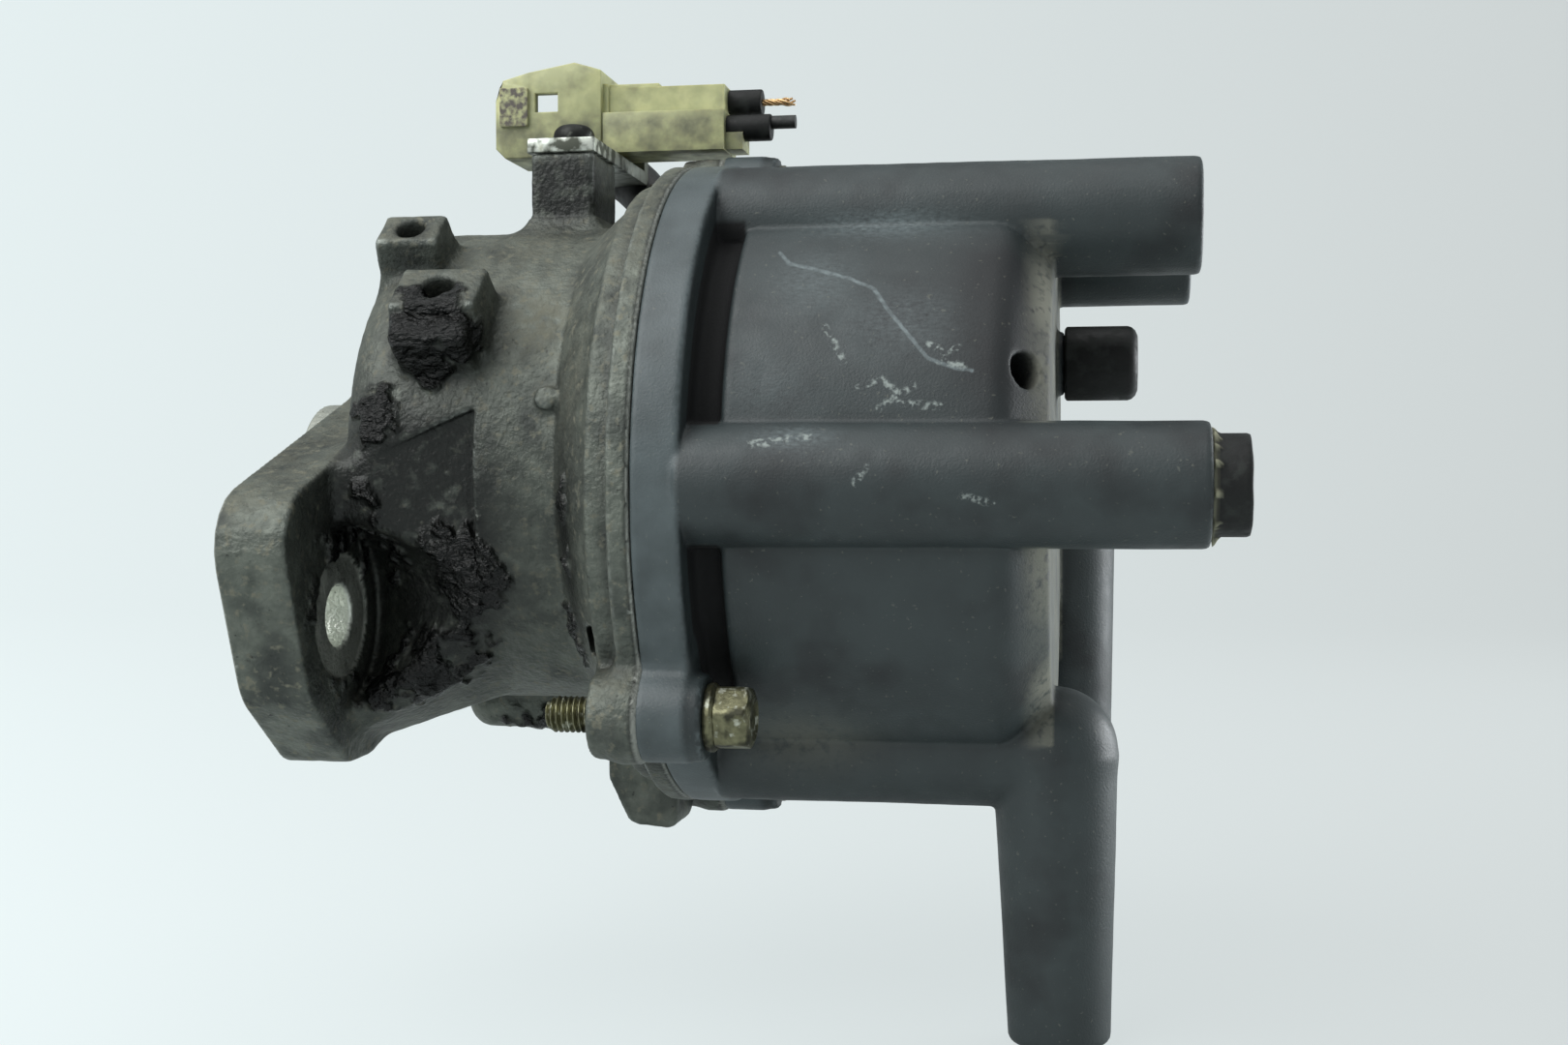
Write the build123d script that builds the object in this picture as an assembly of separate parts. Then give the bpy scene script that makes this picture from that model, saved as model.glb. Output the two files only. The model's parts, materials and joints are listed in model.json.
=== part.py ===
from build123d import *
import math
import os

# An ignition distributor: a cast housing bolted to the engine by a two-eared flange, a shaft that is
# turned by an offset dog, a pick-up that times the spark, and a moulded cap with five lead towers.
# Millimetres. +X runs along the shaft from the mounting face to the cap, +Z is up, and the origin is
# the centre of the mounting face on the shaft axis.

# Lengths along the shaft
flange_thickness = 10.6
seam_x = 58.6
rim_band = 3.3
step_band = 3.8
flare_length = 7.5
cap_rim_band = 6.8
cap_body_length = 48.5
cap_cone_length = 6.0
tower_reach = 75.1
elbow_reach = 54.8

# Housing
rim_r = 49.1
step_r = 46.4
barrel_r = 37.0
barrel_shift_y = 3.0
barrel_shift_z = 3.0
barrel_shoulder = 8.0
bowl_r = 30.0
bowl_floor_x = 36.0
mouth_r = 42.5
mouth_depth = 6.6
pocket_length = 21.0
pocket_r = 14.1
pocket_end_r = 6.3
pocket_end_y = -37.0
pocket_end_z = -17.9
spot_face_r = 9.0
spot_face_depth = 0.4
mount_circle_r = 35.4
mount_angle = 212.8
mount_hole_r = 4.5
drain_half_width = 1.1
drain_half_height = 2.4

# One ear of the mounting flange as (Y, Z, corner radius); the other ear is the same turned half round
ear_outline = [
    (0.0, 14.8, 9.0),
    (-51.7, -3.5, 9.0),
    (-41.2, -30.5, 10.0),
    (-27.0, -41.3, 6.0),
    (-16.0, -41.0, 5.0),
]

# Half of the web between flange and barrel as (Y at the flange, Z there, Y at its far end, Z there)
web_outline = [
    (0.0, 14.8, -12.0, 33.0),
    (-34.4, 1.4, -31.6, 10.6),
    (-33.0, -30.0, -29.0, -16.0),
    (-24.5, -39.0, -21.0, -25.5),
    (-14.0, -40.0, -8.0, -32.0),
]
web_corner_r = 3.0

# Spigot, drive end and bearings
spigot_r = 12.9
spigot_length = 4.0
ring_groove = 2.0
ring_bite = 1.5
ring_recess = 0.02
shaft_r = 5.0
running_gap = 0.04
seal_gap = 0.1
side_gap = 0.3
dog_r = 8.6
dog_bore_gap = 0.7
dog_floor_x = 4.0
dog_hub_length = 7.6
dog_tongue_length = 3.2
dog_tongue_width = 5.0
dog_offset = 1.2
dog_pin_r = 1.5
washer_thickness = 1.0
bush_r = 7.5
bush_length = 13.0
seal_r = 9.0
seal_length = 6.5
bearing_r = 11.0
bearing_length = 7.0
race_wall = 1.7
ball_count = 8
ball_gap = 0.1
retainer_r = 16.0
retainer_thickness = 1.2
retainer_screw_r = 13.5

# Timing pick-up
signal_hub_r = 9.0
signal_tooth_r = 15.0
signal_teeth = 4
signal_tooth_width = 6.0
signal_length = 6.0
signal_start_x = 38.6
air_gap = 0.6
coil_width = 11.0
coil_length = 7.0
core_width = 5.0
pickup_reach = 27.5
plate_thickness = 1.5
shield_thickness = 1.2
shield_hole_r = 11.0

# Rotor arm and its contacts
rotor_hub_r = 8.5
rotor_height = 25.0
rotor_disc_r = 26.0
rotor_disc_thickness = 3.6
rotor_cover = 7.0
blade_thickness = 1.2
blade_width = 9.0
blade_reach = 31.5
spark_gap = 0.7
contact_width = 4.0
contact_height = 4.5
link_width = 3.2
pin_r = 2.0

# Cap
cap_wall = 8.0
cap_end_wall = 9.5
cap_rim_floor = 3.5
cap_body_r = 44.0
cap_end_r = 38.0
shoulder_round = 3.5
foot_round = 3.0
cavity_corner = 3.0
tower_r = 8.4
tower_end_round = 0.9
tower_circle_r = 41.4
mouth_bore_r = 6.7
mouth_bore_depth = 10.0
socket_r = 4.4
socket_depth = 26.0
plug_tower_angles = [180.0, 113.0, 247.0, 0.0]
coil_tower_angle = 63.6
elbow_drop = {247.0: 80.2, 0.0: 65.0}
elbow_top_r = 9.0
elbow_end_r = 7.3
vent_y = 4.0
vent_z = 18.6
vent_r = 2.9
vent_plug_r = 5.7
vent_plug_length = 11.0
vent_stand = 1.2
side_vent_angle = 158.3
side_vent_radius = 41.1
side_vent_r = 2.5
brush_r = 2.5
brush_length = 9.0
spring_length = 5.36
spring_seat = 1.0
brush_boss_r = 6.0
spring_wire_r = 0.3
spring_turns = 6

# Ears and bolts that hold the cap
bolt_outset = 1.9
bolt_angles = [218.15, 290.0, 70.0]
ear_r = 6.0
ear_root_r = 9.0
ear_fillet = 2.5
cap_ear_length = 8.9
housing_ear_length = 6.9
bolt_r = 2.5
bolt_hole_r = 2.8
bolt_length = 22.4
bolt_flange_r = 4.7
bolt_flange_height = 1.4
bolt_hex = 8.0
bolt_head_height = 4.9
gasket_inner_r = 44.6
gasket_width = 2.0
gasket_height = 2.2

# Threaded bosses on the upper front
boss_tilt = 41.0
boss_plane = 43.0
boss_depth = 16.0
boss_draft = 1.4
front_boss = {"x": 26.6, "s": -6.4, "length": 12.6, "width": 9.2, "hole_r": 2.5}
rear_boss = {"x": 18.2, "s": 8.9, "length": 9.4, "width": 7.2, "hole_r": 2.1}
boss_hole_depth = 10.0

# Post, bracket and connector
post_x = 36.7
post_length = 10.0
post_y = 2.0
post_width = 14.0
post_rise = 2.8
post_flare = 3.0
bracket_thickness = 2.3
bracket_length = 10.9
bracket_rear_y = 27.6
bracket_tab_height = 12.0
bracket_screw_r = 2.0
bracket_screw_length = 9.0
bracket_screw_head_r = 3.3
bracket_screw_head = 3.1
connector_y = 20.0
connector_width = 13.0
connector_floor_gap = 0.3
connector_wall = 1.6
seal_plug_r = 2.2
seal_depth = 8.0
strand_r = 0.65
lead_r = 1.1
sleeve_r = 2.3
sleeve_stub_r = 6.6
sleeve_stub_reach = 5.1

# Places that follow from the sizes above
rim_start_x = seam_x - rim_band
step_start_x = rim_start_x - step_band
flare_start_x = step_start_x - flare_length
ledge_x = seam_x + cap_rim_band
shoulder_x = seam_x + cap_body_length
end_face_x = shoulder_x + cap_cone_length
tower_end_x = seam_x + tower_reach
elbow_x = seam_x + elbow_reach
pocket_end_x = flange_thickness + pocket_length
bush_start_x = dog_floor_x
seal_start_x = bush_start_x + bush_length
bearing_start_x = bowl_floor_x - bearing_length
cavity_r = cap_body_r - cap_wall
cavity_end_x = end_face_x - cap_end_wall
spring_end_x = cavity_end_x + spring_seat
brush_end_x = spring_end_x - spring_length
brush_start_x = brush_end_x - brush_length
rotor_top_x = brush_start_x - running_gap - blade_thickness
rotor_start_x = rotor_top_x - rotor_height
shaft_top_x = rotor_top_x - rotor_cover
bolt_circle_r = rim_r + bolt_outset
post_top_z = rim_r + post_rise
bracket_top_z = post_top_z + bracket_thickness
connector_floor_z = bracket_top_z + connector_floor_gap


def disc(x, length, radius, y=0.0, z=0.0):
    """A round bar along the shaft direction, from x onwards."""
    return extrude(Plane.YZ.offset(x) * Pos(y, z) * Circle(radius), length)


def ring(x, length, outer, inner, y=0.0, z=0.0):
    """A round sleeve along the shaft direction."""
    return disc(x, length, outer, y, z) - disc(x, length, inner, y, z)


def block(x0, x1, y0, y1, z0, z1):
    """A box between two corners."""
    return Pos((x0 + x1) / 2, (y0 + y1) / 2, (z0 + z1) / 2) * Box(x1 - x0, y1 - y0, z1 - z0)


def turned(points):
    """A solid of revolution about the shaft from (X, radius) points."""
    return revolve(make_face(Polyline(*points, close=True)), Axis.X)


def polar(radius, angle):
    """(Y, Z) of a point at a radius and an angle counted from +Y towards +Z."""
    return radius * math.cos(math.radians(angle)), radius * math.sin(math.radians(angle))


def spoke(x, length, r0, r1, width, angle):
    """A flat bar that runs outwards from the shaft axis."""
    bar = Pos((r0 + r1) / 2, 0) * Rectangle(r1 - r0, width)
    return extrude(Plane.YZ.offset(x) * Rot(0, 0, angle) * bar, length)


def strut(x, length, start, end, width):
    """A round-ended bar between two (Y, Z) points."""
    dy, dz = end[0] - start[0], end[1] - start[1]
    bar = SlotCenterToCenter(math.hypot(dy, dz), width)
    middle = Pos((start[0] + end[0]) / 2, (start[1] + end[1]) / 2)
    return extrude(Plane.YZ.offset(x) * middle * Rot(0, 0, math.degrees(math.atan2(dz, dy))) * bar, length)


def drilled(y, z, x0, x1, radius):
    """A drill along the shaft direction."""
    return disc(x0, x1 - x0, radius, y, z)


def ear_profile():
    """The flange outline: one ear and the same ear turned half round, with rounded corners."""
    ear = [(y, z) for y, z, _ in ear_outline]
    points = ear + [(-y, -z) for y, z in ear]
    radii = [r for _, _, r in ear_outline] * 2
    return make_face(FilletPolyline(*points, radius=radii, close=True))


def web_profile(at_end):
    """The webs' outline at the flange or at their far end, where they run into the barrel."""
    first = 2 if at_end else 0
    turn_y, turn_z = (2 * barrel_shift_y, 2 * barrel_shift_z) if at_end else (0.0, 0.0)
    half = [corner[first:first + 2] for corner in web_outline]
    points = half + [(turn_y - y, turn_z - z) for y, z in half]
    return make_face(FilletPolyline(*points, radius=web_corner_r, close=True))


def rim_profile(radius):
    """The round rim with its three bolt ears faired into it."""
    outline = Circle(radius)
    for angle in bolt_angles:
        nose = Pos(bolt_circle_r, 0) * Circle(ear_r)
        root = Pos(radius - ear_root_r - 1.0, 0) * Circle(ear_root_r)
        outline += Rot(0, 0, angle) * make_hull((nose + root).edges())
    corners = []
    for corner in outline.vertices():
        on_rim = abs(math.hypot(corner.X, corner.Y) - radius) < 0.01
        if on_rim and abs(corner.Y) > 0.01:
            corners.append(corner)
    return fillet(corners, min(ear_fillet, 0.5 * (bolt_outset + ear_r)))


def tilted(x, s, depth):
    """A plane that faces along the bosses, at a height above the shaft axis."""
    t = math.radians(boss_tilt)
    origin = (x, s * math.cos(t) - depth * math.sin(t), s * math.sin(t) + depth * math.cos(t))
    return Plane(origin=origin, x_dir=(1, 0, 0), z_dir=(0, -math.sin(t), math.cos(t)))


def boss_solid(boss):
    """A drafted rectangular boss that rises from the barrel."""
    top = tilted(boss["x"], boss["s"], boss_plane) * Rectangle(boss["length"], boss["width"])
    foot_size = (boss["length"] + 2 * boss_draft, boss["width"] + 2 * boss_draft)
    foot = tilted(boss["x"], boss["s"], boss_plane - boss_depth) * Rectangle(*foot_size)
    return loft([foot, top])


def boss_hole(boss):
    """The tapped hole of a boss, at its core size."""
    return extrude(tilted(boss["x"], boss["s"], boss_plane) * Circle(boss["hole_r"]), -boss_hole_depth)


def bolt_pockets():
    """The tapered scoops, open sideways, that leave room for the mounting bolts' heads."""
    y, z = polar(mount_circle_r, mount_angle)
    mouth = Pos(y - mount_circle_r, z) * SlotCenterToCenter(2 * mount_circle_r, 2 * pocket_r)
    end = Pos(pocket_end_y - mount_circle_r, pocket_end_z) * SlotCenterToCenter(2 * mount_circle_r, 2 * pocket_end_r)
    scoop = loft([Plane.YZ.offset(flange_thickness) * mouth, Plane.YZ.offset(pocket_end_x) * end])
    return scoop + Rot(180, 0, 0) * scoop


def lower_lug():
    """The rounded lug that hangs under the rim beside the lowest bolt."""
    front, back = 2.0, 12.6
    outline = Polyline((step_start_x - 9.5, -43.0), (step_start_x - 9.5, -47.0), (step_start_x - 6.0, -54.4),
                       (step_start_x + 2.0, -55.2), (step_start_x + 2.6, -43.0), close=True)
    lug = extrude(Plane.XZ.offset(-back) * make_face(outline), back - front)
    edges = lug.edges().filter_by(Axis.Y).sort_by(Axis.Z)[0:2]
    return fillet(edges, 2.4)


def make_housing():
    """The cast housing with flange, barrel, bosses, post and ears."""
    shoulder_centre = flange_thickness + barrel_shoulder
    barrel = extrude(Plane.YZ.offset(flange_thickness) * Pos(barrel_shift_y, barrel_shift_z)
                     * Circle(barrel_r), flare_start_x - flange_thickness)
    barrel = fillet(barrel.edges().sort_by(Axis.X)[0], barrel_shoulder)
    flare = loft([Plane.YZ.offset(flare_start_x) * Pos(barrel_shift_y, barrel_shift_z) * Circle(barrel_r),
                  Plane.YZ.offset(step_start_x) * Circle(step_r - 1.0)])
    step = disc(step_start_x, step_band, step_r)
    rim = extrude(Plane.YZ.offset(rim_start_x) * rim_profile(rim_r), rim_band)
    webs = loft([Plane.YZ.offset(flange_thickness) * web_profile(False),
                 Plane.YZ.offset(pocket_end_x) * web_profile(True)])
    body = barrel + flare + step + rim + webs
    body -= bolt_pockets()
    body += extrude(Plane.YZ * ear_profile(), flange_thickness)
    body += disc(-spigot_length, spigot_length, spigot_r)

    for angle in bolt_angles:
        y, z = polar(bolt_circle_r, angle)
        ear = disc(seam_x - housing_ear_length, housing_ear_length, ear_r, y, z)
        ear += spoke(seam_x - housing_ear_length, housing_ear_length - rim_band,
                     step_r - 3.0, bolt_circle_r, 2 * ear_r, angle)
        body += ear
    body += boss_solid(front_boss) + boss_solid(rear_boss)

    post_foot = Rectangle(post_length + 2 * post_flare, post_width + 2 * post_flare)
    post_top = Rectangle(post_length, post_width)
    post = loft([Pos(post_x, post_y, barrel_r - 2.0) * post_foot, Pos(post_x, post_y, barrel_r + 5.0) * post_top])
    post += block(post_x - post_length / 2, post_x + post_length / 2, post_y - post_width / 2,
                  post_y + post_width / 2, barrel_r + 5.0, post_top_z)
    body += post
    body += lower_lug()
    rib = extrude(Pos(pocket_end_x - 2.0, 10.0, -barrel_r + 6.0) * RectangleRounded(24.0, 9.0, 3.0), -9.2)
    body += rib
    grommet_boss = Pos(lead_exit[0], lead_exit[1], 0) * extrude(Pos(0, 0, 30.0) * Circle(sleeve_r + 2.6),
                                                              lead_exit[2] - 30.0)
    body += grommet_boss

    body -= disc(bowl_floor_x, seam_x, bowl_r)
    body -= disc(seam_x - mouth_depth, seam_x, mouth_r)
    body -= ring(seam_x - gasket_height / 2, seam_x, gasket_inner_r + gasket_width, gasket_inner_r)
    body -= disc(-spigot_length, spigot_length + dog_floor_x, dog_r + dog_bore_gap)
    body -= disc(dog_floor_x, bush_length, bush_r)
    body -= disc(seal_start_x, seal_length, seal_r)
    body -= disc(seal_start_x, bearing_start_x - seal_start_x, seal_r - 1.5)
    body -= disc(bearing_start_x, bearing_length, bearing_r)
    body -= ring(-spigot_length + 1.0, ring_groove, spigot_r + 1.0, spigot_r - ring_bite)
    for side in (0.0, 180.0):
        y, z = polar(mount_circle_r, mount_angle + side)
        body -= drilled(y, z, -1.0, flange_thickness + 1.0, mount_hole_r)
        body -= disc(flange_thickness - spot_face_depth, 1.0, spot_face_r, y, z)
    for angle in bolt_angles:
        y, z = polar(bolt_circle_r, angle)
        body -= drilled(y, z, seam_x - housing_ear_length - 8.0, seam_x + 1.0, bolt_r)
    body -= boss_hole(front_boss) + boss_hole(rear_boss)
    body -= Pos(post_x, post_y, post_top_z - bracket_screw_length / 2 + 0.5) * Cylinder(
        bracket_screw_r, bracket_screw_length + 1.0)
    drain = extrude(Plane.XZ.offset(mouth_r - 4.0) * Pos(step_start_x - 1.4, -21.8)
                    * Ellipse(drain_half_width, drain_half_height), 12.0, both=True)
    body -= drain
    body -= Pos(lead_exit[0], lead_exit[1], 32.0) * Cylinder(sleeve_r, 30.0)
    for y in (-retainer_screw_r, retainer_screw_r):
        body -= drilled(y, 0.0, bowl_floor_x - 4.0, bowl_floor_x + 1.0, 1.5)
    for y in pickup_screw_y:
        body -= drilled(y, pickup_screw_z, bowl_floor_x - 5.0, bowl_floor_x + 1.0, 1.5)
    return body


def elbow_tower(angle):
    """A tower that leaves the cap beside the body and turns straight down."""
    y, z = polar(tower_circle_r, angle)
    run = disc(ledge_x, elbow_x - ledge_x, tower_r, y, z)
    knee = Pos(elbow_x, y, z) * Sphere(elbow_top_r)
    drop = elbow_drop[angle]
    upper = Pos(elbow_x, y, z) * Circle(elbow_top_r)
    lower = Pos(elbow_x + 0.8, y, -drop) * Circle(elbow_end_r)
    leg = loft([lower, upper])
    leg = fillet(leg.edges().sort_by(Axis.Z)[0], tower_end_round)
    return run + knee + leg


def straight_tower(angle):
    """A tower that runs on past the cap's end face."""
    y, z = polar(tower_circle_r, angle)
    tube = disc(ledge_x, tower_end_x - ledge_x, tower_r, y, z)
    return fillet(tube.edges().sort_by(Axis.X)[-1], tower_end_round)


def tower_socket(angle):
    """The stepped hole that takes a lead, from the tower's open end to its terminal."""
    y, z = polar(tower_circle_r, angle)
    if angle in elbow_drop:
        mouth_z = -elbow_drop[angle]
        wide = Pos(elbow_x + 0.6, y, mouth_z) * Cylinder(elbow_end_r - 1.7, 2 * mouth_bore_depth)
        narrow = Pos(elbow_x, y, mouth_z) * Cylinder(socket_r, 2 * socket_depth)
        return wide + narrow
    wide = disc(tower_end_x - mouth_bore_depth, mouth_bore_depth + 1.0, mouth_bore_r, y, z)
    return wide + disc(tower_end_x - socket_depth, socket_depth, socket_r, y, z)


def plug_contact(angle):
    """A brass insert: a pin in the tower's socket and a bar through the wall to the rotor's path."""
    y, z = polar(tower_circle_r, angle)
    bar_x = rotor_top_x + blade_thickness / 2 - contact_height / 2
    contact_angle = 90.0 * round(angle / 90.0)
    inner = blade_reach + spark_gap
    insert = spoke(bar_x, contact_height, inner, cavity_r + 2.0, contact_width, contact_angle)
    wall_point = polar(cavity_r + 0.4 * cap_wall, angle)
    if angle != contact_angle:
        start = polar(cavity_r + 0.4 * cap_wall, contact_angle)
        insert += strut(bar_x + 1.0, contact_height - 2.0, start, wall_point, link_width)
    insert += strut(bar_x + 1.0, contact_height - 2.0, wall_point, (y, z), link_width)
    if angle in elbow_drop:
        end_z = socket_depth - elbow_drop[angle] - 6.0
        rod = FilletPolyline((bar_x + 1.0, y, z), (elbow_x, y, z), (elbow_x, y, end_z), radius=2 * pin_r)
        insert += sweep(Plane(origin=rod @ 0, z_dir=rod % 0) * Circle(pin_r), path=rod)
    else:
        insert += disc(bar_x + 1.0, tower_end_x - socket_depth - bar_x + 5.0, pin_r, y, z)
    return insert


def coil_terminal_solid():
    """The brass bar that leads from the coil tower through the end wall to the carbon brush."""
    y, z = polar(tower_circle_r, coil_tower_angle)
    bar = spoke(spring_end_x, 1.2, 0.0, tower_circle_r, 4.0, coil_tower_angle)
    bar += disc(spring_end_x, 1.2, brush_r + 0.8)
    return bar + disc(spring_end_x, tower_end_x - socket_depth - spring_end_x + 5.0, pin_r, y, z)


def circles_at(solid, x):
    """A solid's round edges in the plane at x."""
    rounds = solid.edges().filter_by(GeomType.CIRCLE)
    return [e for e in rounds if abs(e.arc_center.X - x) < 0.01 and e.radius > spigot_r]


def make_cap(inserts):
    """The moulded cap, with its inserts moulded in."""
    body = turned([(seam_x, 0), (seam_x, rim_r), (ledge_x, rim_r), (ledge_x, cap_body_r),
                   (shoulder_x, cap_body_r), (end_face_x, cap_end_r), (end_face_x, 0)])
    body = fillet(circles_at(body, shoulder_x), shoulder_round)
    body = fillet([e for e in circles_at(body, ledge_x) if e.radius < rim_r - 1.0], foot_round)
    body += extrude(Plane.YZ.offset(seam_x) * rim_profile(rim_r), cap_rim_band)
    for angle in bolt_angles:
        y, z = polar(bolt_circle_r, angle)
        body += disc(seam_x, cap_ear_length, ear_r, y, z)
        body += spoke(seam_x, cap_ear_length, cap_body_r - 1.0, bolt_circle_r, 1.7 * ear_r, angle)
    for angle in plug_tower_angles + [coil_tower_angle]:
        body += elbow_tower(angle) if angle in elbow_drop else straight_tower(angle)
    body += disc(end_face_x - 1.0, 1.0 + vent_stand, vent_r + 2.0, vent_y, vent_z)

    body -= disc(seam_x - 1.0, 1.0 + cap_rim_band - cap_rim_floor, mouth_r + 1.0)
    hollow = turned([(seam_x, 0), (seam_x, cavity_r), (cavity_end_x - cavity_corner, cavity_r),
                     (cavity_end_x, cavity_r - cavity_corner), (cavity_end_x, 0)])
    body -= hollow
    body += disc(brush_end_x - 4.0, cavity_end_x - brush_end_x + 5.0, brush_boss_r)
    body -= disc(brush_end_x - 5.0, spring_end_x - brush_end_x + 5.0, brush_r + running_gap)
    body -= ring(seam_x - 1.0, 1.0 + gasket_height / 2, gasket_inner_r + gasket_width, gasket_inner_r)
    for angle in bolt_angles:
        y, z = polar(bolt_circle_r, angle)
        body -= drilled(y, z, seam_x - 1.0, seam_x + cap_ear_length + 1.0, bolt_hole_r)
        body -= drilled(y, z, seam_x + cap_ear_length, shoulder_x, bolt_flange_r + 0.8)
    for angle in plug_tower_angles + [coil_tower_angle]:
        body -= tower_socket(angle)
    body -= disc(cavity_end_x - 1.0, cap_end_wall + vent_stand + 2.0, vent_r - 1.0, vent_y, vent_z)
    body -= side_vent()
    for insert in inserts:
        body -= insert
    return body


def side_vent():
    """The breather hole, square to the cone beside the end face."""
    y, z = polar(side_vent_radius, side_vent_angle)
    mouth_x = shoulder_x + (cap_body_r - side_vent_radius) * cap_cone_length / (cap_body_r - cap_end_r)
    away = polar(1.0, side_vent_angle)
    out = Plane(origin=(mouth_x, y, z), z_dir=(1.0, away[0], away[1]))
    return extrude(out * Circle(side_vent_r), cap_end_wall + 1.0, both=True)


def hex_bolt(x, y, z):
    """A flange bolt whose head bears on the cap's ear."""
    shank = disc(x - bolt_length, bolt_length, bolt_r, y, z)
    flange = disc(x, bolt_flange_height, bolt_flange_r, y, z)
    head = extrude(Plane.YZ.offset(x + bolt_flange_height) * Pos(y, z)
                   * RegularPolygon(bolt_hex / 2, 6, major_radius=False), bolt_head_height)
    head &= turned_at(x + bolt_flange_height, bolt_head_height, bolt_hex / math.sqrt(3.0), y, z)
    return shank + flange + head


def turned_at(x, length, radius, y, z):
    """The rounded-off bar that chamfers a hexagon's corners."""
    bar = disc(x, length, radius, y, z)
    return chamfer(bar.edges().sort_by(Axis.X)[-1], 0.6)


def make_shaft():
    """The stepped shaft with the flat that keys the rotor."""
    shaft = disc(-spigot_length + 1.0, rotor_start_x + spigot_length - 1.0, shaft_r)
    shaft += disc(rotor_start_x, shaft_top_x - rotor_start_x, shaft_r - 0.8)
    flat = block(rotor_start_x, shaft_top_x, -shaft_r, shaft_r, shaft_r - 2.0, shaft_r)
    shaft -= flat
    shaft -= Pos(dog_pin_x, 0, 0) * Rot(90, 0, 0) * Cylinder(dog_pin_r, 4 * dog_r)
    shaft = chamfer(shaft.edges().sort_by(Axis.X)[0], 0.6)
    return shaft


def make_dog():
    """The hub that drives the shaft, with two offset tongues."""
    start = dog_floor_x - washer_thickness - dog_hub_length + 0.6
    hub = disc(start, dog_hub_length - 0.6, dog_r)
    tongue = block(start - dog_tongue_length, start, -dog_r + 0.4, dog_r - 0.4,
                   dog_offset - dog_tongue_width / 2, dog_offset + dog_tongue_width / 2)
    tongue &= disc(start - dog_tongue_length, dog_tongue_length, dog_r - 0.4)
    dog = hub + tongue
    dog -= disc(start - 0.2, dog_hub_length + 1.0, shaft_r)
    dog -= Pos(dog_pin_x, 0, 0) * Rot(90, 0, 0) * Cylinder(dog_pin_r, 4 * dog_r)
    return dog


def make_signal_rotor():
    """The toothed steel rotor that passes the pick-up."""
    rotor = disc(signal_start_x, signal_length, signal_hub_r)
    for k in range(signal_teeth):
        rotor += spoke(signal_start_x, signal_length, signal_hub_r - 2.0, signal_tooth_r,
                       signal_tooth_width, 360.0 * k / signal_teeth + 45.0)
    rotor &= disc(signal_start_x, signal_length, signal_tooth_r)
    return rotor - disc(signal_start_x, signal_length, shaft_r)


def make_rotor_arm():
    """The moulded rotor arm: a hub, a waist and a disc with an arm."""
    arm = turned([(rotor_start_x + 1.0, 0), (rotor_start_x + 1.0, rotor_hub_r),
                  (rotor_top_x - rotor_disc_thickness - 6.0, rotor_hub_r),
                  (rotor_top_x - rotor_disc_thickness, rotor_hub_r + 4.0),
                  (rotor_top_x - rotor_disc_thickness, rotor_disc_r - 6.0),
                  (rotor_top_x, rotor_disc_r - 6.0), (rotor_top_x, 0)])
    arm += spoke(rotor_top_x - rotor_disc_thickness, rotor_disc_thickness, 0.0, rotor_disc_r,
                 blade_width + 4.0, rotor_angle)
    socket = disc(rotor_start_x - 1.0, shaft_top_x - rotor_start_x + 1.4, shaft_r - 0.8)
    socket -= block(rotor_start_x, shaft_top_x + 1.0, -shaft_r, shaft_r, shaft_r - 2.0, shaft_r)
    arm -= socket
    arm -= rotor_screw_holes()
    return arm


def rotor_screw_holes():
    """The holes of the two small screws that hold the blade."""
    holes = None
    for radius in (6.0, 15.0):
        y, z = polar(radius, rotor_angle)
        hole = disc(rotor_top_x - 3.0, 3.0 + blade_thickness, 1.0, y, z)
        holes = hole if holes is None else holes + hole
    return holes


def make_blade():
    """The brass blade that carries the spark from the brush to the contacts."""
    blade = disc(rotor_top_x, blade_thickness, 4.6)
    blade += spoke(rotor_top_x, blade_thickness, 0.0, blade_reach, blade_width, rotor_angle)
    blade &= disc(rotor_top_x, blade_thickness, blade_reach)
    return blade - rotor_screw_holes()


def make_rotor_screws():
    """Two small screws through the blade into the rotor arm."""
    screws = rotor_screw_holes()
    for radius in (6.0, 15.0):
        y, z = polar(radius, rotor_angle)
        screws += disc(rotor_top_x + blade_thickness, 0.8, 1.9, y, z)
    return screws


def make_spring():
    """The coil spring behind the brush."""
    length = spring_end_x - brush_end_x - 2 * spring_wire_r
    radius = brush_r - 2 * spring_wire_r
    path = Helix(length / spring_turns, length, radius)
    start = path @ 0
    section = Plane(origin=start, z_dir=path % 0) * RegularPolygon(spring_wire_r, 6)
    coil = sweep(section, path=path, is_frenet=True)
    return Pos(brush_end_x + spring_wire_r, 0, 0) * Rot(0, 90, 0) * coil


def make_connector_half():
    """The fixed half of the plug connection, moulded in natural nylon."""
    y0 = connector_y - connector_width / 2
    x0 = connector_x
    z0 = connector_floor_z
    outline = Polyline((x0, z0 + 1.6), (x0 + 1.6, z0), (x0 + 18.2, z0), (x0 + 18.2, z0 + 14.2),
                       (x0 + 17.0, z0 + 14.6), (x0 + 13.6, z0 + 15.6), (x0 + 5.6, z0 + 14.2),
                       (x0 + 1.2, z0 + 13.0), (x0, z0 + 9.8), close=True)
    shell = extrude(Plane.XZ.offset(-y0 - connector_width) * make_face(outline), connector_width)
    shell += block(x0 + 0.9, x0 + 5.7, y0 - 0.7, y0, z0 + 5.2, z0 + 11.6)
    shell -= block(x0 + 6.9, x0 + 10.7, y0 - 1.0, y0 + connector_width + 1.0, z0 + 7.6, z0 + 10.6)
    shell -= plug_nose(0.0)
    return shell


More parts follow.
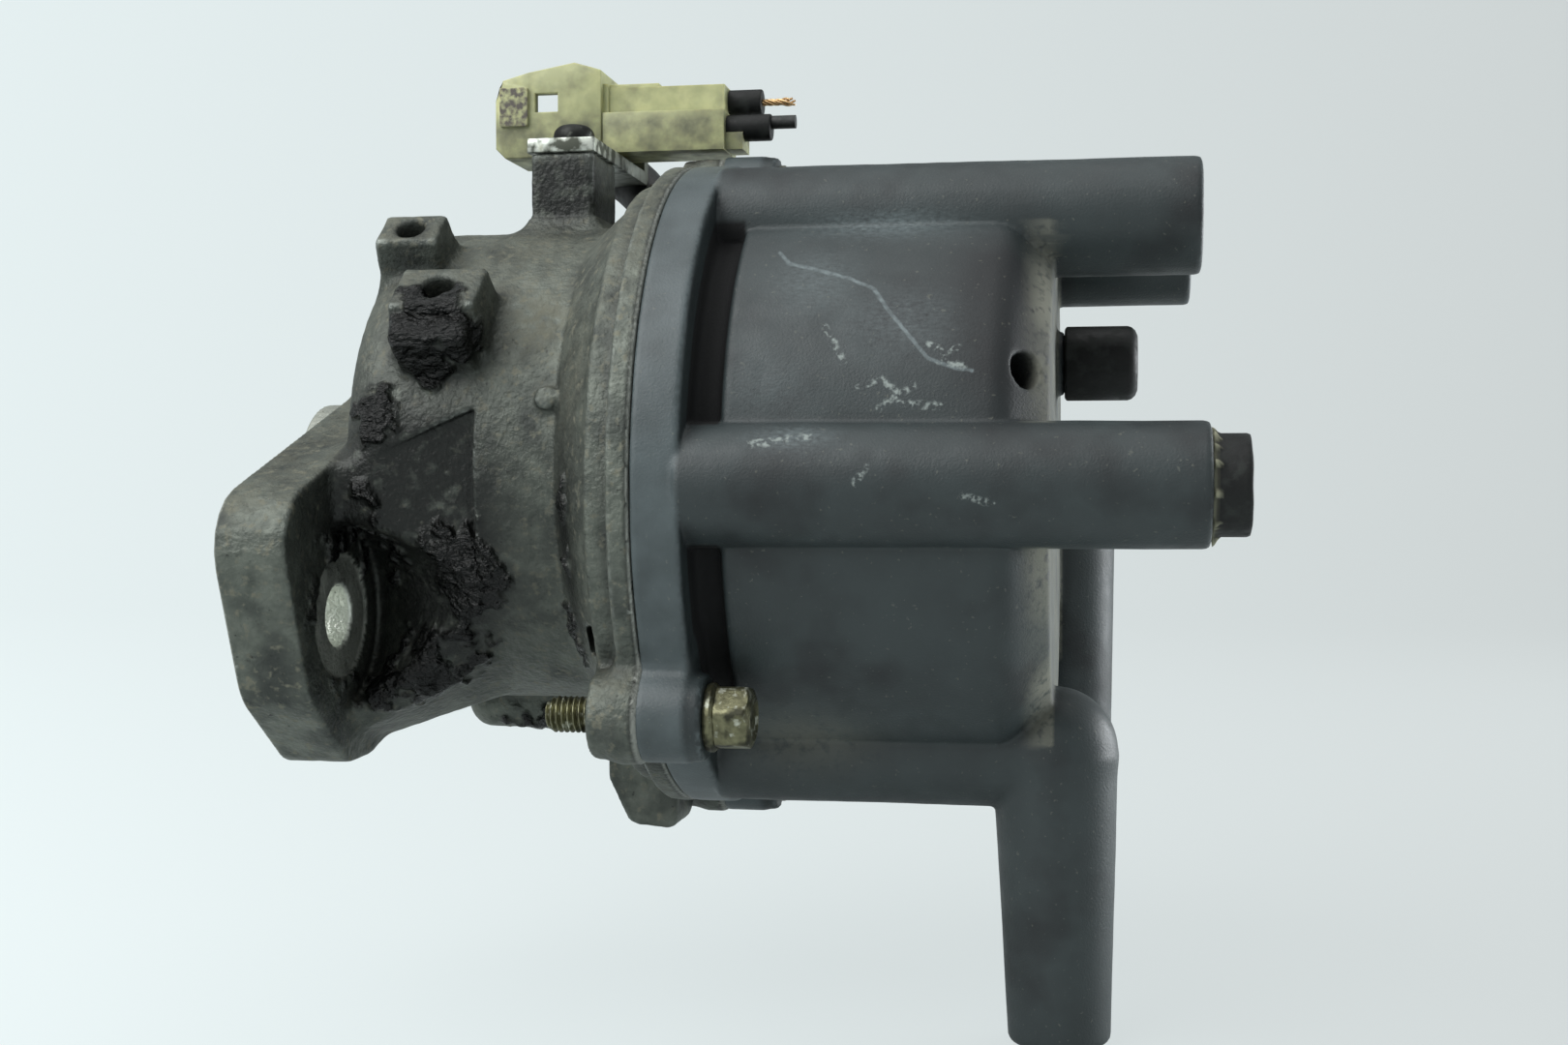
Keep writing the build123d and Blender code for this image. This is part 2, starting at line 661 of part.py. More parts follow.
def plug_nose(inset):
    """The part of the cable half that slides into the fixed half."""
    x0 = connector_x + 12.0
    y0 = connector_y - connector_width / 2 + connector_wall
    return block(x0, connector_x + 19.0, y0 + inset, y0 + connector_width - 2 * connector_wall - inset,
                 connector_floor_z + connector_wall + inset, connector_floor_z + 12.2 - inset)


def make_connector_plug():
    """The cable half, with its upper rail, lower body and latch."""
    x0 = connector_x + 18.3
    x1 = connector_x + 38.6
    z0 = connector_floor_z
    y0 = connector_y - connector_width / 2
    plug = plug_nose(0.0)
    plug += block(x0, x1, y0 + 2.2, y0 + connector_width - 1.0, z0 + 6.8, z0 + 11.6)
    plug += block(x0, x1 + 0.2, y0 + 0.4, y0 + connector_width - 2.0, z0 + 0.6, z0 + 7.2)
    plug += block(x0, x0 + 9.0, y0 + 3.0, y0 + 8.0, z0 + 11.6, z0 + 12.3)
    plug += block(x1, x1 + 3.1, y0 + 2.0, y0 + 8.0, z0 + 0.8, z0 + 3.6)
    for y, z, reach in seal_places:
        plug -= disc(x1 - seal_depth, seal_depth + reach, seal_plug_r, y, z)
    return plug


def make_lead_sleeve():
    """The sleeved pick-up lead, from the housing's boss up to the connector."""
    y_back = connector_y + connector_width / 2
    x, y, z = lead_exit
    points = [(x, y, z - 6.0), (x, y, z + 7.0), (x - 6.5, y_back + 9.5, z + 16.5),
              (connector_x + 8.0, y_back + 7.2, connector_floor_z + 5.0), (connector_x + 8.0, y_back,
                                                                        connector_floor_z + 5.0)]
    lengths = [math.dist(points[k], points[k + 1]) for k in range(len(points) - 1)]
    path = FilletPolyline(*points, radius=[4.6, 6.0, 4.6])
    print("pick-up lead", round(path.length, 1), "mm, runs", [round(v, 1) for v in lengths])
    section = Plane(origin=points[0], z_dir=(0, 0, 1)) * Circle(sleeve_r)
    return sweep(section, path=path)


# Places of small pieces that depend on several sizes
dog_pin_x = -0.6
rotor_angle = 180.0 + 38.0
pickup_screw_y = (-8.5, 8.5)
pickup_screw_z = -24.5
lead_exit = (45.5, 28.0, 37.0)
connector_x = 19.8
seal_places = [
    (connector_y + 0.6, connector_floor_z + 9.3, 5.6),
    (connector_y - 2.2, connector_floor_z + 4.6, 7.6),
]

parts = {}
contacts = [plug_contact(angle) for angle in plug_tower_angles]
coil_bar = coil_terminal_solid()
parts["housing"] = make_housing()
parts["distributor_cap"] = make_cap(contacts + [coil_bar])
parts["cap_gasket"] = ring(seam_x - gasket_height / 2, gasket_height, gasket_inner_r + gasket_width,
                           gasket_inner_r)
head_x = seam_x + cap_ear_length
parts["cap_bolts"] = Compound(children=[hex_bolt(head_x, *polar(bolt_circle_r, a)) for a in bolt_angles])
parts["plug_contacts"] = Compound(children=contacts)
parts["coil_contact"] = coil_bar
parts["carbon_brush"] = fillet(disc(brush_start_x, brush_length, brush_r).edges().sort_by(Axis.X)[0], 0.6)
parts["brush_spring"] = make_spring()
neck = disc(end_face_x - 4.0, 4.0 + vent_stand, vent_r - 1.0, vent_y, vent_z)
cup = disc(end_face_x + vent_stand, vent_plug_length, vent_plug_r, vent_y, vent_z)
parts["vent_plug"] = neck + fillet(cup.edges().sort_by(Axis.X)[-1], 1.4)

stub_y, stub_z = polar(tower_circle_r, plug_tower_angles[0])
stub = ring(tower_end_x - mouth_bore_depth, mouth_bore_depth + sleeve_stub_reach, sleeve_stub_r,
            socket_r - 0.6, stub_y, stub_z)
parts["lead_boot_stub"] = stub

parts["drive_shaft"] = make_shaft()
parts["drive_dog"] = make_dog()
parts["dog_pin"] = Pos(dog_pin_x, 0, 0) * Rot(90, 0, 0) * Cylinder(dog_pin_r, 2 * dog_r - 0.4)
parts["thrust_washer"] = ring(dog_floor_x - washer_thickness + 0.1, washer_thickness - 0.2, dog_r - 0.4,
                              shaft_r + side_gap)
parts["shaft_bush"] = ring(bush_start_x, bush_length, bush_r, shaft_r + running_gap)
parts["shaft_seal"] = ring(seal_start_x, seal_length, seal_r, shaft_r + seal_gap)
ring_x = -spigot_length + 1.0 + ring_groove / 2
cord_r = ring_bite / 2 - ring_recess
parts["spigot_o_ring"] = Pos(ring_x, 0, 0) * Rot(0, 90, 0) * Torus(spigot_r - ring_bite + cord_r, cord_r)

race_x = bearing_start_x
ball_path_r = (bearing_r - race_wall + shaft_r + race_wall) / 2
ball_r = (bearing_r - 2 * race_wall - shaft_r) / 2 - ball_gap
parts["bearing_outer_race"] = ring(race_x, bearing_length, bearing_r, bearing_r - race_wall)
parts["bearing_inner_race"] = ring(race_x, bearing_length, shaft_r + race_wall, shaft_r)
balls = [Pos(race_x + bearing_length / 2, *polar(ball_path_r, 360.0 * k / ball_count)) * Sphere(ball_r)
         for k in range(ball_count)]
parts["bearing_balls"] = Compound(children=balls)
retainer = ring(bowl_floor_x, retainer_thickness, retainer_r, bearing_r - 1.5)
retainer_screws = []
for y in (-retainer_screw_r, retainer_screw_r):
    retainer -= drilled(y, 0.0, bowl_floor_x, bowl_floor_x + retainer_thickness, 1.5)
    screw = disc(bowl_floor_x - 4.0, 4.0 + retainer_thickness, 1.5, y)
    retainer_screws.append(screw + disc(bowl_floor_x + retainer_thickness, 1.2, 2.4, y))
parts["bearing_retainer"] = retainer
parts["retainer_screws"] = Compound(children=retainer_screws)

parts["signal_rotor"] = make_signal_rotor()
core_z = -(signal_tooth_r + air_gap)
mid_x = signal_start_x + signal_length / 2
core = block(mid_x - core_width / 2, mid_x + core_width / 2, -core_width / 2, core_width / 2, -pickup_reach, core_z)
core += block(bowl_floor_x + plate_thickness, mid_x + core_width / 2, -core_width / 2, core_width / 2,
              -pickup_reach, -pickup_reach + 3.0)
coil_top_z = core_z - 1.2
coil_form = block(mid_x - coil_width / 2 + 1.4, mid_x + coil_width / 2, -coil_width / 2, coil_width / 2,
                  coil_top_z - coil_length, coil_top_z)
parts["pickup_core"] = core
parts["pickup_coil"] = fillet(coil_form.edges().filter_by(Axis.Z), 2.0) - core
pickup_plate = extrude(Plane.YZ.offset(bowl_floor_x) * Pos(0, pickup_screw_z) * RectangleRounded(24.0, 7.0, 3.0),
                       plate_thickness)
pickup_screws = []
for y in pickup_screw_y:
    pickup_plate -= drilled(y, pickup_screw_z, bowl_floor_x, bowl_floor_x + plate_thickness, 1.5)
    screw = disc(bowl_floor_x - 5.0, 5.0 + plate_thickness, 1.5, y, pickup_screw_z)
    pickup_screws.append(screw + disc(bowl_floor_x + plate_thickness, 1.6, 2.6, y, pickup_screw_z))
parts["pickup_plate"] = pickup_plate
parts["pickup_screws"] = Compound(children=pickup_screws)
shield_x = seam_x - mouth_depth
parts["dust_shield"] = ring(shield_x, shield_thickness, mouth_r - 0.2, shield_hole_r)

parts["rotor_arm"] = make_rotor_arm()
parts["rotor_blade"] = make_blade()
parts["rotor_screws"] = make_rotor_screws()

front_y = post_y - post_width / 2 - 0.2
plate_x0 = post_x - post_length / 2 - 0.6
bracket = block(plate_x0, plate_x0 + bracket_length, front_y, bracket_rear_y + bracket_thickness, post_top_z,
                bracket_top_z)
bracket += block(plate_x0, plate_x0 + bracket_length, bracket_rear_y, bracket_rear_y + bracket_thickness,
                 post_top_z, bracket_top_z + bracket_tab_height)
bracket -= Pos(post_x, post_y, bracket_top_z) * Cylinder(bracket_screw_r, 4 * bracket_thickness)
parts["connector_bracket"] = bracket
screw = Pos(post_x, post_y, bracket_top_z - bracket_screw_length / 2) * Cylinder(bracket_screw_r,
                                                                              bracket_screw_length)
head = Pos(post_x, post_y, bracket_top_z + bracket_screw_head / 2) * Cylinder(bracket_screw_head_r,
                                                                         bracket_screw_head)
parts["bracket_screw"] = screw + fillet(head.edges().sort_by(Axis.Z)[-1], 1.5)
parts["connector_socket"] = make_connector_half()
parts["connector_plug"] = make_connector_plug()
plug_end_x = connector_x + 38.6
seals = []
for y, z, reach in seal_places:
    seals.append(disc(plug_end_x - seal_depth, seal_depth + reach, seal_plug_r, y, z))
parts["wire_seals"] = Compound(children=seals)
seal_ends = [(plug_end_x + reach, y, z) for y, z, reach in seal_places]
parts["cut_copper_strand"] = disc(seal_ends[0][0], 5.4, strand_r, seal_ends[0][1], seal_ends[0][2])
parts["cut_lead"] = disc(seal_ends[1][0], 4.0, lead_r, seal_ends[1][1], seal_ends[1][2] + 0.8)
parts["pickup_lead"] = make_lead_sleeve()

os.makedirs("parts", exist_ok=True)
for name, shape in parts.items():
    export_step(shape, f"parts/{name}.step")
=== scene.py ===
"""Looks of an ignition distributor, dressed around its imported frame.

Sizes are millimetres in the part's own frame and turn to metres where a mesh is written. X runs along
the shaft from the mounting face to the cap, Z is up, and the camera stands on the -Y side.
"""

import json
import logging
import math
from dataclasses import dataclass
from enum import Enum, IntEnum

import bmesh
import bpy
import numpy as np
from mathutils import Matrix, Vector


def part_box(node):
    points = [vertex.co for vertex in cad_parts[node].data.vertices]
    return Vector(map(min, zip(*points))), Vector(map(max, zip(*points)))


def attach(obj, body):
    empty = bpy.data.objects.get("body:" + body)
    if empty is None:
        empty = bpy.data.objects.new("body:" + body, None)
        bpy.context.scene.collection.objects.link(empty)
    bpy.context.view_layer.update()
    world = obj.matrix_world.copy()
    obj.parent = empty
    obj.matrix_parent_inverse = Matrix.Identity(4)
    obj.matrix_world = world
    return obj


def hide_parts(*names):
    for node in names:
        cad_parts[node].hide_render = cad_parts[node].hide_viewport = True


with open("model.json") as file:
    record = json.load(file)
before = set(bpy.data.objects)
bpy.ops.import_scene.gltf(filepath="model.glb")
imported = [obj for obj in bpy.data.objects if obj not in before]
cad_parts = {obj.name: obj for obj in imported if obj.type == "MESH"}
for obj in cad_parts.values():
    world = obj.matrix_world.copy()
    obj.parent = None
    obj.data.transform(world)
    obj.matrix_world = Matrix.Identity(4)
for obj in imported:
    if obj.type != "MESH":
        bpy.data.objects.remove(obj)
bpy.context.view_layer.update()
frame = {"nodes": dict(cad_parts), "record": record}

logging.basicConfig(level=logging.INFO, format="%(message)s")
log = logging.getLogger("distributor")

MM = 0.001
MOST_TRIANGLES = 190000
SHARP = math.radians(35.0)
Array = np.ndarray
Point = tuple[float, float, float]
Pair = tuple[float, float]


class Body(Enum):
    """The moving groups of the frame."""

    ROOT = "root"
    ROTATING = "rotating_group"
    BRUSH = "brush"


class Seed(IntEnum):
    """Which noise pattern roughens or dirties what."""

    SAND = 1
    WAVES = 2
    LUMPS = 3
    SMALL_LUMPS = 4
    SETTLED_DUST = 5
    CLOTS = 6
    WRINKLES = 7
    SPOT_FACE = 9
    CHIPPED = 10
    CONE_DUST = 11
    RIPPLE = 21
    BOW = 22
    TEAR = 41
    SLIVERS = 42
    WEAR = 43
    SLEEVE = 51


def polar(radius: float, angle: float) -> Pair:
    """(Y, Z) at a radius and an angle in degrees, counted from +Y towards +Z."""
    return radius * math.cos(math.radians(angle)), radius * math.sin(math.radians(angle))


def hash_lattice(i: Array, j: Array, k: Array, seed: int) -> Array:
    """A repeatable value from 0 to 1 for each whole-numbered lattice point.

    The three indices are mixed by odd multipliers and shifts in 32-bit arithmetic.
    """
    h = (i * 374761393 + j * 668265263 + k * 2147483647 + seed * 1274126177) & 0xFFFFFFFF
    h = ((h ^ (h >> 13)) * 1274126177) & 0xFFFFFFFF
    return ((h ^ (h >> 16)) & 0xFFFF) / 65535.0


def value_noise(points: Array, scale: float, seed: int) -> Array:
    """Smooth noise from -1 to 1 over points.

    Each point takes the lattice values at the eight corners of its cell, mixed by the smoothstep
    of its place in the cell.

    Args:
        points: (n, 3) places in millimetres.
        scale: lattice spacing in millimetres.
        seed: picks one of many patterns.

    Returns:
        One value per point.
    """
    q = points / scale
    cell = np.floor(q).astype(np.int64)
    t = q - cell
    t = t * t * (3.0 - 2.0 * t)
    total = np.zeros(len(points))
    for dx in (0, 1):
        for dy in (0, 1):
            for dz in (0, 1):
                corner = hash_lattice(cell[:, 0] + dx, cell[:, 1] + dy, cell[:, 2] + dz, seed)
                weight = np.where(dx, t[:, 0], 1 - t[:, 0]) * np.where(dy, t[:, 1], 1 - t[:, 1])
                total += corner * weight * np.where(dz, t[:, 2], 1 - t[:, 2])
    return 2.0 * total - 1.0


def step_up(value: Array, low: float, high: float) -> Array:
    """Smoothstep: 0 below low, 1 above high."""
    t = np.clip((value - low) / (high - low), 0.0, 1.0)
    return t * t * (3.0 - 2.0 * t)


@dataclass(frozen=True)
class Rod:
    """A round bar between two points, with a radius at each end and softened rims."""

    start: Point
    end: Point
    r0: float
    r1: float
    soft: float = 0.3

    def reach(self) -> tuple[Array, Array]:
        """Lowest and highest corner of a box that holds the bar."""
        ends = np.array([self.start, self.end])
        most = max(self.r0, self.r1)
        return ends.min(0) - most, ends.max(0) + most

    def distance(self, x: Array, y: Array, z: Array) -> Array:
        """Signed distance: the radial and the endwise excess, joined by a quarter circle of the soft radius."""
        start, end = np.array(self.start), np.array(self.end)
        length = np.linalg.norm(end - start)
        way = (end - start) / length
        px, py, pz = x - start[0], y - start[1], z - start[2]
        along = px * way[0] + py * way[1] + pz * way[2]
        across = np.sqrt(np.maximum(px * px + py * py + pz * pz - along * along, 0.0))
        radius = self.r0 + (self.r1 - self.r0) * np.clip(along / length, 0.0, 1.0)
        slope = length / math.hypot(length, self.r1 - self.r0)
        side = (across - radius) * slope + self.soft
        endwise = np.abs(along - length / 2) - length / 2 + self.soft
        outside = np.sqrt(np.maximum(side, 0.0) ** 2 + np.maximum(endwise, 0.0) ** 2)
        return np.minimum(np.maximum(side, endwise), 0.0) + outside - self.soft


@dataclass(frozen=True)
class Ball:
    """A sphere."""

    centre: Point
    radius: float

    def reach(self) -> tuple[Array, Array]:
        """Lowest and highest corner of a box that holds the ball."""
        centre = np.array(self.centre)
        return centre - self.radius, centre + self.radius

    def distance(self, x: Array, y: Array, z: Array) -> Array:
        """Signed distance: how far the point is from the centre, less the radius."""
        cx, cy, cz = self.centre
        return np.sqrt((x - cx) ** 2 + (y - cy) ** 2 + (z - cz) ** 2) - self.radius


@dataclass(frozen=True)
class Brick:
    """A box that may lean about the X axis and widen below its top, with softened edges."""

    centre: Point
    size: Point
    lean: float = 0.0
    draft: float = 0.0
    soft: float = 0.4

    def reach(self) -> tuple[Array, Array]:
        """Lowest and highest corner of a box that holds the brick however it leans."""
        centre = np.array(self.centre)
        half = np.linalg.norm(self.size) / 2 + self.draft
        return centre - half, centre + half

    def distance(self, x: Array, y: Array, z: Array) -> Array:
        """Signed distance in the brick's own leaned axes; the sides move out by the draft towards its foot."""
        cx, cy, cz = self.centre
        c, s = math.cos(math.radians(self.lean)), math.sin(math.radians(self.lean))
        u = x - cx
        v = (y - cy) * c + (z - cz) * s
        w = -(y - cy) * s + (z - cz) * c
        grow = self.draft * np.clip(0.5 - w / self.size[2], 0.0, 1.0)
        a = np.abs(u) - self.size[0] / 2 - grow + self.soft
        b = np.abs(v) - self.size[1] / 2 - grow + self.soft
        c2 = np.abs(w) - self.size[2] / 2 + self.soft
        outside = np.sqrt(np.maximum(a, 0.0) ** 2 + np.maximum(b, 0.0) ** 2 + np.maximum(c2, 0.0) ** 2)
        return np.minimum(np.maximum(np.maximum(a, b), c2), 0.0) + outside - self.soft


def rounded(corners: list[Point], arc_steps: int = 6) -> Array:
    """A closed outline with its corners rounded by arcs.

    At each corner the arc touches both sides at radius / tan(half the corner's angle) from it, and its
    points turn evenly from one touching point to the other.

    Args:
        corners: (a, b, radius) in order round the outline.
        arc_steps: points on each arc.

    Returns:
        (n, 2) points.
    """
    found = []
    places = np.array([c[:2] for c in corners], float)
    for k, (_, _, radius) in enumerate(corners):
        here, before, after = places[k], places[k - 1], places[(k + 1) % len(corners)]
        back = (before - here) / np.linalg.norm(before - here)
        on = (after - here) / np.linalg.norm(after - here)
        half = math.acos(np.clip(back @ on, -1.0, 1.0)) / 2
        middle = (back + on) / np.linalg.norm(back + on)
        centre = here + middle * radius / math.sin(half)
        first = here + back * radius / math.tan(half) - centre
        last = here + on * radius / math.tan(half) - centre
        turn = math.atan2(first[0] * last[1] - first[1] * last[0], first @ last)
        t = np.linspace(0.0, turn, arc_steps)
        found.append(np.stack([centre[0] + first[0] * np.cos(t) - first[1] * np.sin(t),
                               centre[1] + first[0] * np.sin(t) + first[1] * np.cos(t)], 1))
    return np.concatenate(found)


def outline_distance(a: Array, b: Array, outline: Array) -> Array:
    """Signed distance to a closed outline in its own plane, negative inside.

    The size is the least distance to any side, and the sign flips once for each side that a ray
    from the point crosses.
    """
    best = np.full(np.broadcast(a, b).shape, 1e9)
    inside = np.zeros(best.shape, bool)
    for (a0, b0), (a1, b1) in zip(outline, np.roll(outline, -1, axis=0)):
        ea, eb = a1 - a0, b1 - b0
        t = np.clip(((a - a0) * ea + (b - b0) * eb) / max(ea * ea + eb * eb, 1e-12), 0.0, 1.0)
        best = np.minimum(best, (a - a0 - t * ea) ** 2 + (b - b0 - t * eb) ** 2)
        if abs(eb) > 1e-12:
            crossing = ((b0 > b) != (b1 > b)) & (a < a0 + (b - b0) * ea / eb)
            inside ^= crossing
    return np.where(inside, -1.0, 1.0) * np.sqrt(best)


def circle(radius: float, centre: Pair = (0.0, 0.0), count: int = 72) -> Array:
    """The outline of a circle."""
    turn = np.linspace(0.0, 2 * math.pi, count, endpoint=False)
    return np.stack([centre[0] + radius * np.cos(turn), centre[1] + radius * np.sin(turn)], 1)


def slot(start: Pair, end: Pair, radius: float, count: int = 17) -> Array:
    """The outline of a round-ended slot between two centres: a half circle round each."""
    lean = math.atan2(end[1] - start[1], end[0] - start[0])
    half = np.linspace(math.pi / 2, 3 * math.pi / 2, count) + lean
    arcs = [np.stack([c[0] + radius * np.cos(half + t), c[1] + radius * np.sin(half + t)], 1)
            for c, t in ((start, 0.0), (end, math.pi))]
    return np.concatenate(arcs)


class Across(Enum):
    """The plane in which a plate's outline is drawn."""

    YZ = 0
    XZ = 1


@dataclass(frozen=True)
class Plate:
    """An outline run along X or Y; along X it may turn into another with as many points on its way."""

    outline: Array
    low: float
    high: float
    plane: Across = Across.YZ
    far: Array | None = None
    soft: float = 0.3

    def reach(self) -> tuple[Array, Array]:
        """Lowest and highest corner of a box that holds the plate."""
        ends = self.outline if self.far is None else np.concatenate([self.outline, self.far])
        a, b = ends.min(0), ends.max(0)
        if self.plane is Across.YZ:
            return np.array([self.low, a[0], a[1]]), np.array([self.high, b[0], b[1]])
        return np.array([a[0], self.low, a[1]]), np.array([b[0], self.high, b[1]])

    def distance(self, x: Array, y: Array, z: Array) -> Array:
        """Signed distance: the outline's own in its plane, joined with the distance past the two faces."""
        if self.plane is Across.YZ:
            through, a, b = x, y, z
        else:
            through, a, b = y, x, z
        if self.far is None:
            flat = outline_distance(a, b, self.outline)
        else:
            share = np.clip((through.ravel() - self.low) / (self.high - self.low), 0.0, 1.0)
            flat = np.stack([outline_distance(a[0], b[0], self.outline + s * (self.far - self.outline))
                             for s in share])
        side = flat + self.soft
        faces = np.maximum(self.low - through, through - self.high) + self.soft
        outside = np.sqrt(np.maximum(side, 0.0) ** 2 + np.maximum(faces, 0.0) ** 2)
        return np.minimum(np.maximum(side, faces), 0.0) + outside - self.soft


@dataclass(frozen=True)
class Turned:
    """A closed (X, radius) outline turned about a line along X."""

    outline: Array
    centre: Pair = (0.0, 0.0)

    def reach(self) -> tuple[Array, Array]:
        """Lowest and highest corner of a box that holds the solid."""
        low, high = self.outline[:, 0].min(), self.outline[:, 0].max()
        most, (cy, cz) = self.outline[:, 1].max(), self.centre
        return np.array([low, cy - most, cz - most]), np.array([high, cy + most, cz + most])

    def distance(self, x: Array, y: Array, z: Array) -> Array:
        """Signed distance: the outline's own in a table of X and radius, read at each point's radius."""
        radius = np.hypot(y - self.centre[0], z - self.centre[1])
        pitch = 0.1
        table = outline_distance(x[:, :, 0], pitch * np.arange(int(radius.max() / pitch) + 3)[None, :], self.outline)
        place = radius[0] / pitch
        low = place.astype(int)
        share = place - low
        return table[:, low] * (1 - share) + table[:, low + 1] * share


Shape = Rod | Ball | Brick | Plate | Turned

CORNERS = np.array([(i, j, k) for i in (0, 1) for j in (0, 1) for k in (0, 1)])
EDGES = [(a, b) for a in range(8) for b in range(a + 1, 8) if np.abs(CORNERS[a] - CORNERS[b]).sum() == 1]


class Casting:
    """A solid kept as signed distances on a grid, so that its shapes run into each other with fillets.

    A grid point that no shape comes near holds EMPTY, a distance greater than any fillet.
    """

    EMPTY = 9.0

    def __init__(self, low: Point, high: Point, step: float) -> None:
        """Opens an empty grid between two corners.

        Args:
            low: lowest corner.
            high: highest corner.
            step: grid spacing.
        """
        self.low = np.array(low, float)
        self.step = step
        counts = np.ceil((np.array(high, float) - self.low) / step).astype(int) + 1
        axes = [self.low[k] + step * np.arange(counts[k]) for k in range(3)]
        self.x, self.y, self.z = axes[0][:, None, None], axes[1][None, :, None], axes[2][None, None, :]
        self.d = np.full(counts, self.EMPTY, np.float32)

    def window(self, shape: Shape, margin: float) -> tuple[slice, slice, slice]:
        """The grid slices round a shape."""
        low, high = shape.reach()
        first = np.floor((low - margin - self.low) / self.step).astype(int)
        last = np.ceil((high + margin - self.low) / self.step).astype(int) + 1
        return tuple(slice(max(int(a), 0), max(min(int(b), n), 0)) for a, b, n in zip(first, last, self.d.shape))

    def local(self, shape: Shape, margin: float) -> tuple[tuple[slice, slice, slice], Array]:
        """The window round a shape and the shape's distances in it."""
        w = self.window(shape, margin)
        return w, shape.distance(self.x[w[0]], self.y[:, w[1]], self.z[:, :, w[2]]).astype(np.float32)

    def add(self, shape: Shape, fillet: float = 0.0) -> None:
        """Joins a shape on: the lesser distance, pulled lower where both are within the fillet."""
        w, other = self.local(shape, fillet + 3 * self.step)
        own = self.d[w]
        if fillet > 0.0:
            h = np.maximum(fillet - np.abs(own - other), 0.0) / fillet
            self.d[w] = np.minimum(own, other) - h * h * fillet / 4
        else:
            self.d[w] = np.minimum(own, other)

    def cut(self, shape: Shape, fillet: float = 0.0) -> None:
        """Takes a shape away: the greater of the distance and the shape's own turned inside out."""
        w, other = self.local(shape, fillet + 3 * self.step)
        own = self.d[w]
        if fillet > 0.0:
            h = np.maximum(fillet - np.abs(own + other), 0.0) / fillet
            self.d[w] = np.maximum(own, -other) + h * h * fillet / 4
        else:
            self.d[w] = np.maximum(own, -other)

    def sample(self, points: Array) -> tuple[Array, Array]:
        """Distance and gradient at points, mixed from the eight grid corners round each."""
        q = np.clip((points - self.low) / self.step, 0.0, np.array(self.d.shape) - 1.001)
        cell = q.astype(int)
        t = q - cell
        v = np.stack([self.d[tuple((cell + c).T)] for c in CORNERS], 1).astype(float)
        w = [np.stack([1 - t[:, a], t[:, a]], 1)[:, CORNERS[:, a]] for a in range(3)]
        sign = np.where(CORNERS == 1, 1.0, -1.0)
        value = (v * w[0] * w[1] * w[2]).sum(1)
        slope = np.stack([(v * sign[:, 0] * w[1] * w[2]).sum(1), (v * w[0] * sign[:, 1] * w[2]).sum(1),
                          (v * w[0] * w[1] * sign[:, 2]).sum(1)], 1) / self.step
        return value, slope

    def surface(self) -> tuple[Array, Array]:
        """The skin where the distance is nought.

        Each grid cell that the skin crosses holds one point, the mean of the crossings on the cell's
        edges, moved onto the skin along the gradient. Each grid edge that crosses the skin gives a
        four-sided face through the four cells round it.

        Returns:
            (n, 3) points in millimetres and (m, 4) faces that point outwards.
        """
        d = self.d
        inside = d < 0.0
        count = np.zeros(tuple(n - 1 for n in d.shape), np.int8)
        for i, j, k in CORNERS:
            count += inside[i:d.shape[0] - 1 + i, j:d.shape[1] - 1 + j, k:d.shape[2] - 1 + k]
        cells = np.argwhere((count > 0) & (count < 8))
        corner = np.stack([d[tuple((cells + c).T)] for c in CORNERS], 1).astype(float)
        total, hits = np.zeros((len(cells), 3)), np.zeros(len(cells))
        for a, b in EDGES:
            va, vb = corner[:, a], corner[:, b]
            crossed = (va < 0.0) != (vb < 0.0)
            t = np.where(crossed, va / np.where(crossed, va - vb, 1.0), 0.0)[:, None]
            total += np.where(crossed[:, None], CORNERS[a] + t * (CORNERS[b] - CORNERS[a]), 0.0)
            hits += crossed
        points = self.low + self.step * (cells + total / hits[:, None])
        for _ in range(2):
            value, slope = self.sample(points)
            size = np.maximum((slope * slope).sum(1), 0.2)
            shift = -slope * (value / size)[:, None]
            points += np.clip(shift, -0.5 * self.step, 0.5 * self.step)
        index = np.full(count.shape, -1, np.int32)
        index[tuple(cells.T)] = np.arange(len(cells))
        faces = []
        for axis in range(3):
            step = np.eye(3, dtype=int)[axis]
            p, q = np.eye(3, dtype=int)[(axis + 1) % 3], np.eye(3, dtype=int)[(axis + 2) % 3]
            near = inside[tuple(slice(0, d.shape[k] - step[k]) for k in range(3))]
            far = inside[tuple(slice(step[k], None) for k in range(3))]
            at = np.argwhere(near != far)
            at = at[(at @ p > 0) & (at @ q > 0) & (at @ p < d.shape[(axis + 1) % 3] - 1)
                    & (at @ q < d.shape[(axis + 2) % 3] - 1)]
            leaving = near[tuple(at.T)]
            ring = np.stack([index[tuple((at - p - q).T)], index[tuple((at - q).T)], index[tuple(at.T)],
                             index[tuple((at - p).T)]], 1)
            faces.append(np.where(leaving[:, None], ring, ring[:, ::-1]))
        return points, np.concatenate(faces)


def stand(name: str, data: bpy.types.ID) -> bpy.types.Object:
    """Makes an object of a mesh, curve, light or camera and links it to the scene."""
    obj = bpy.data.objects.new(name, data)
    bpy.context.scene.collection.objects.link(obj)
    return obj


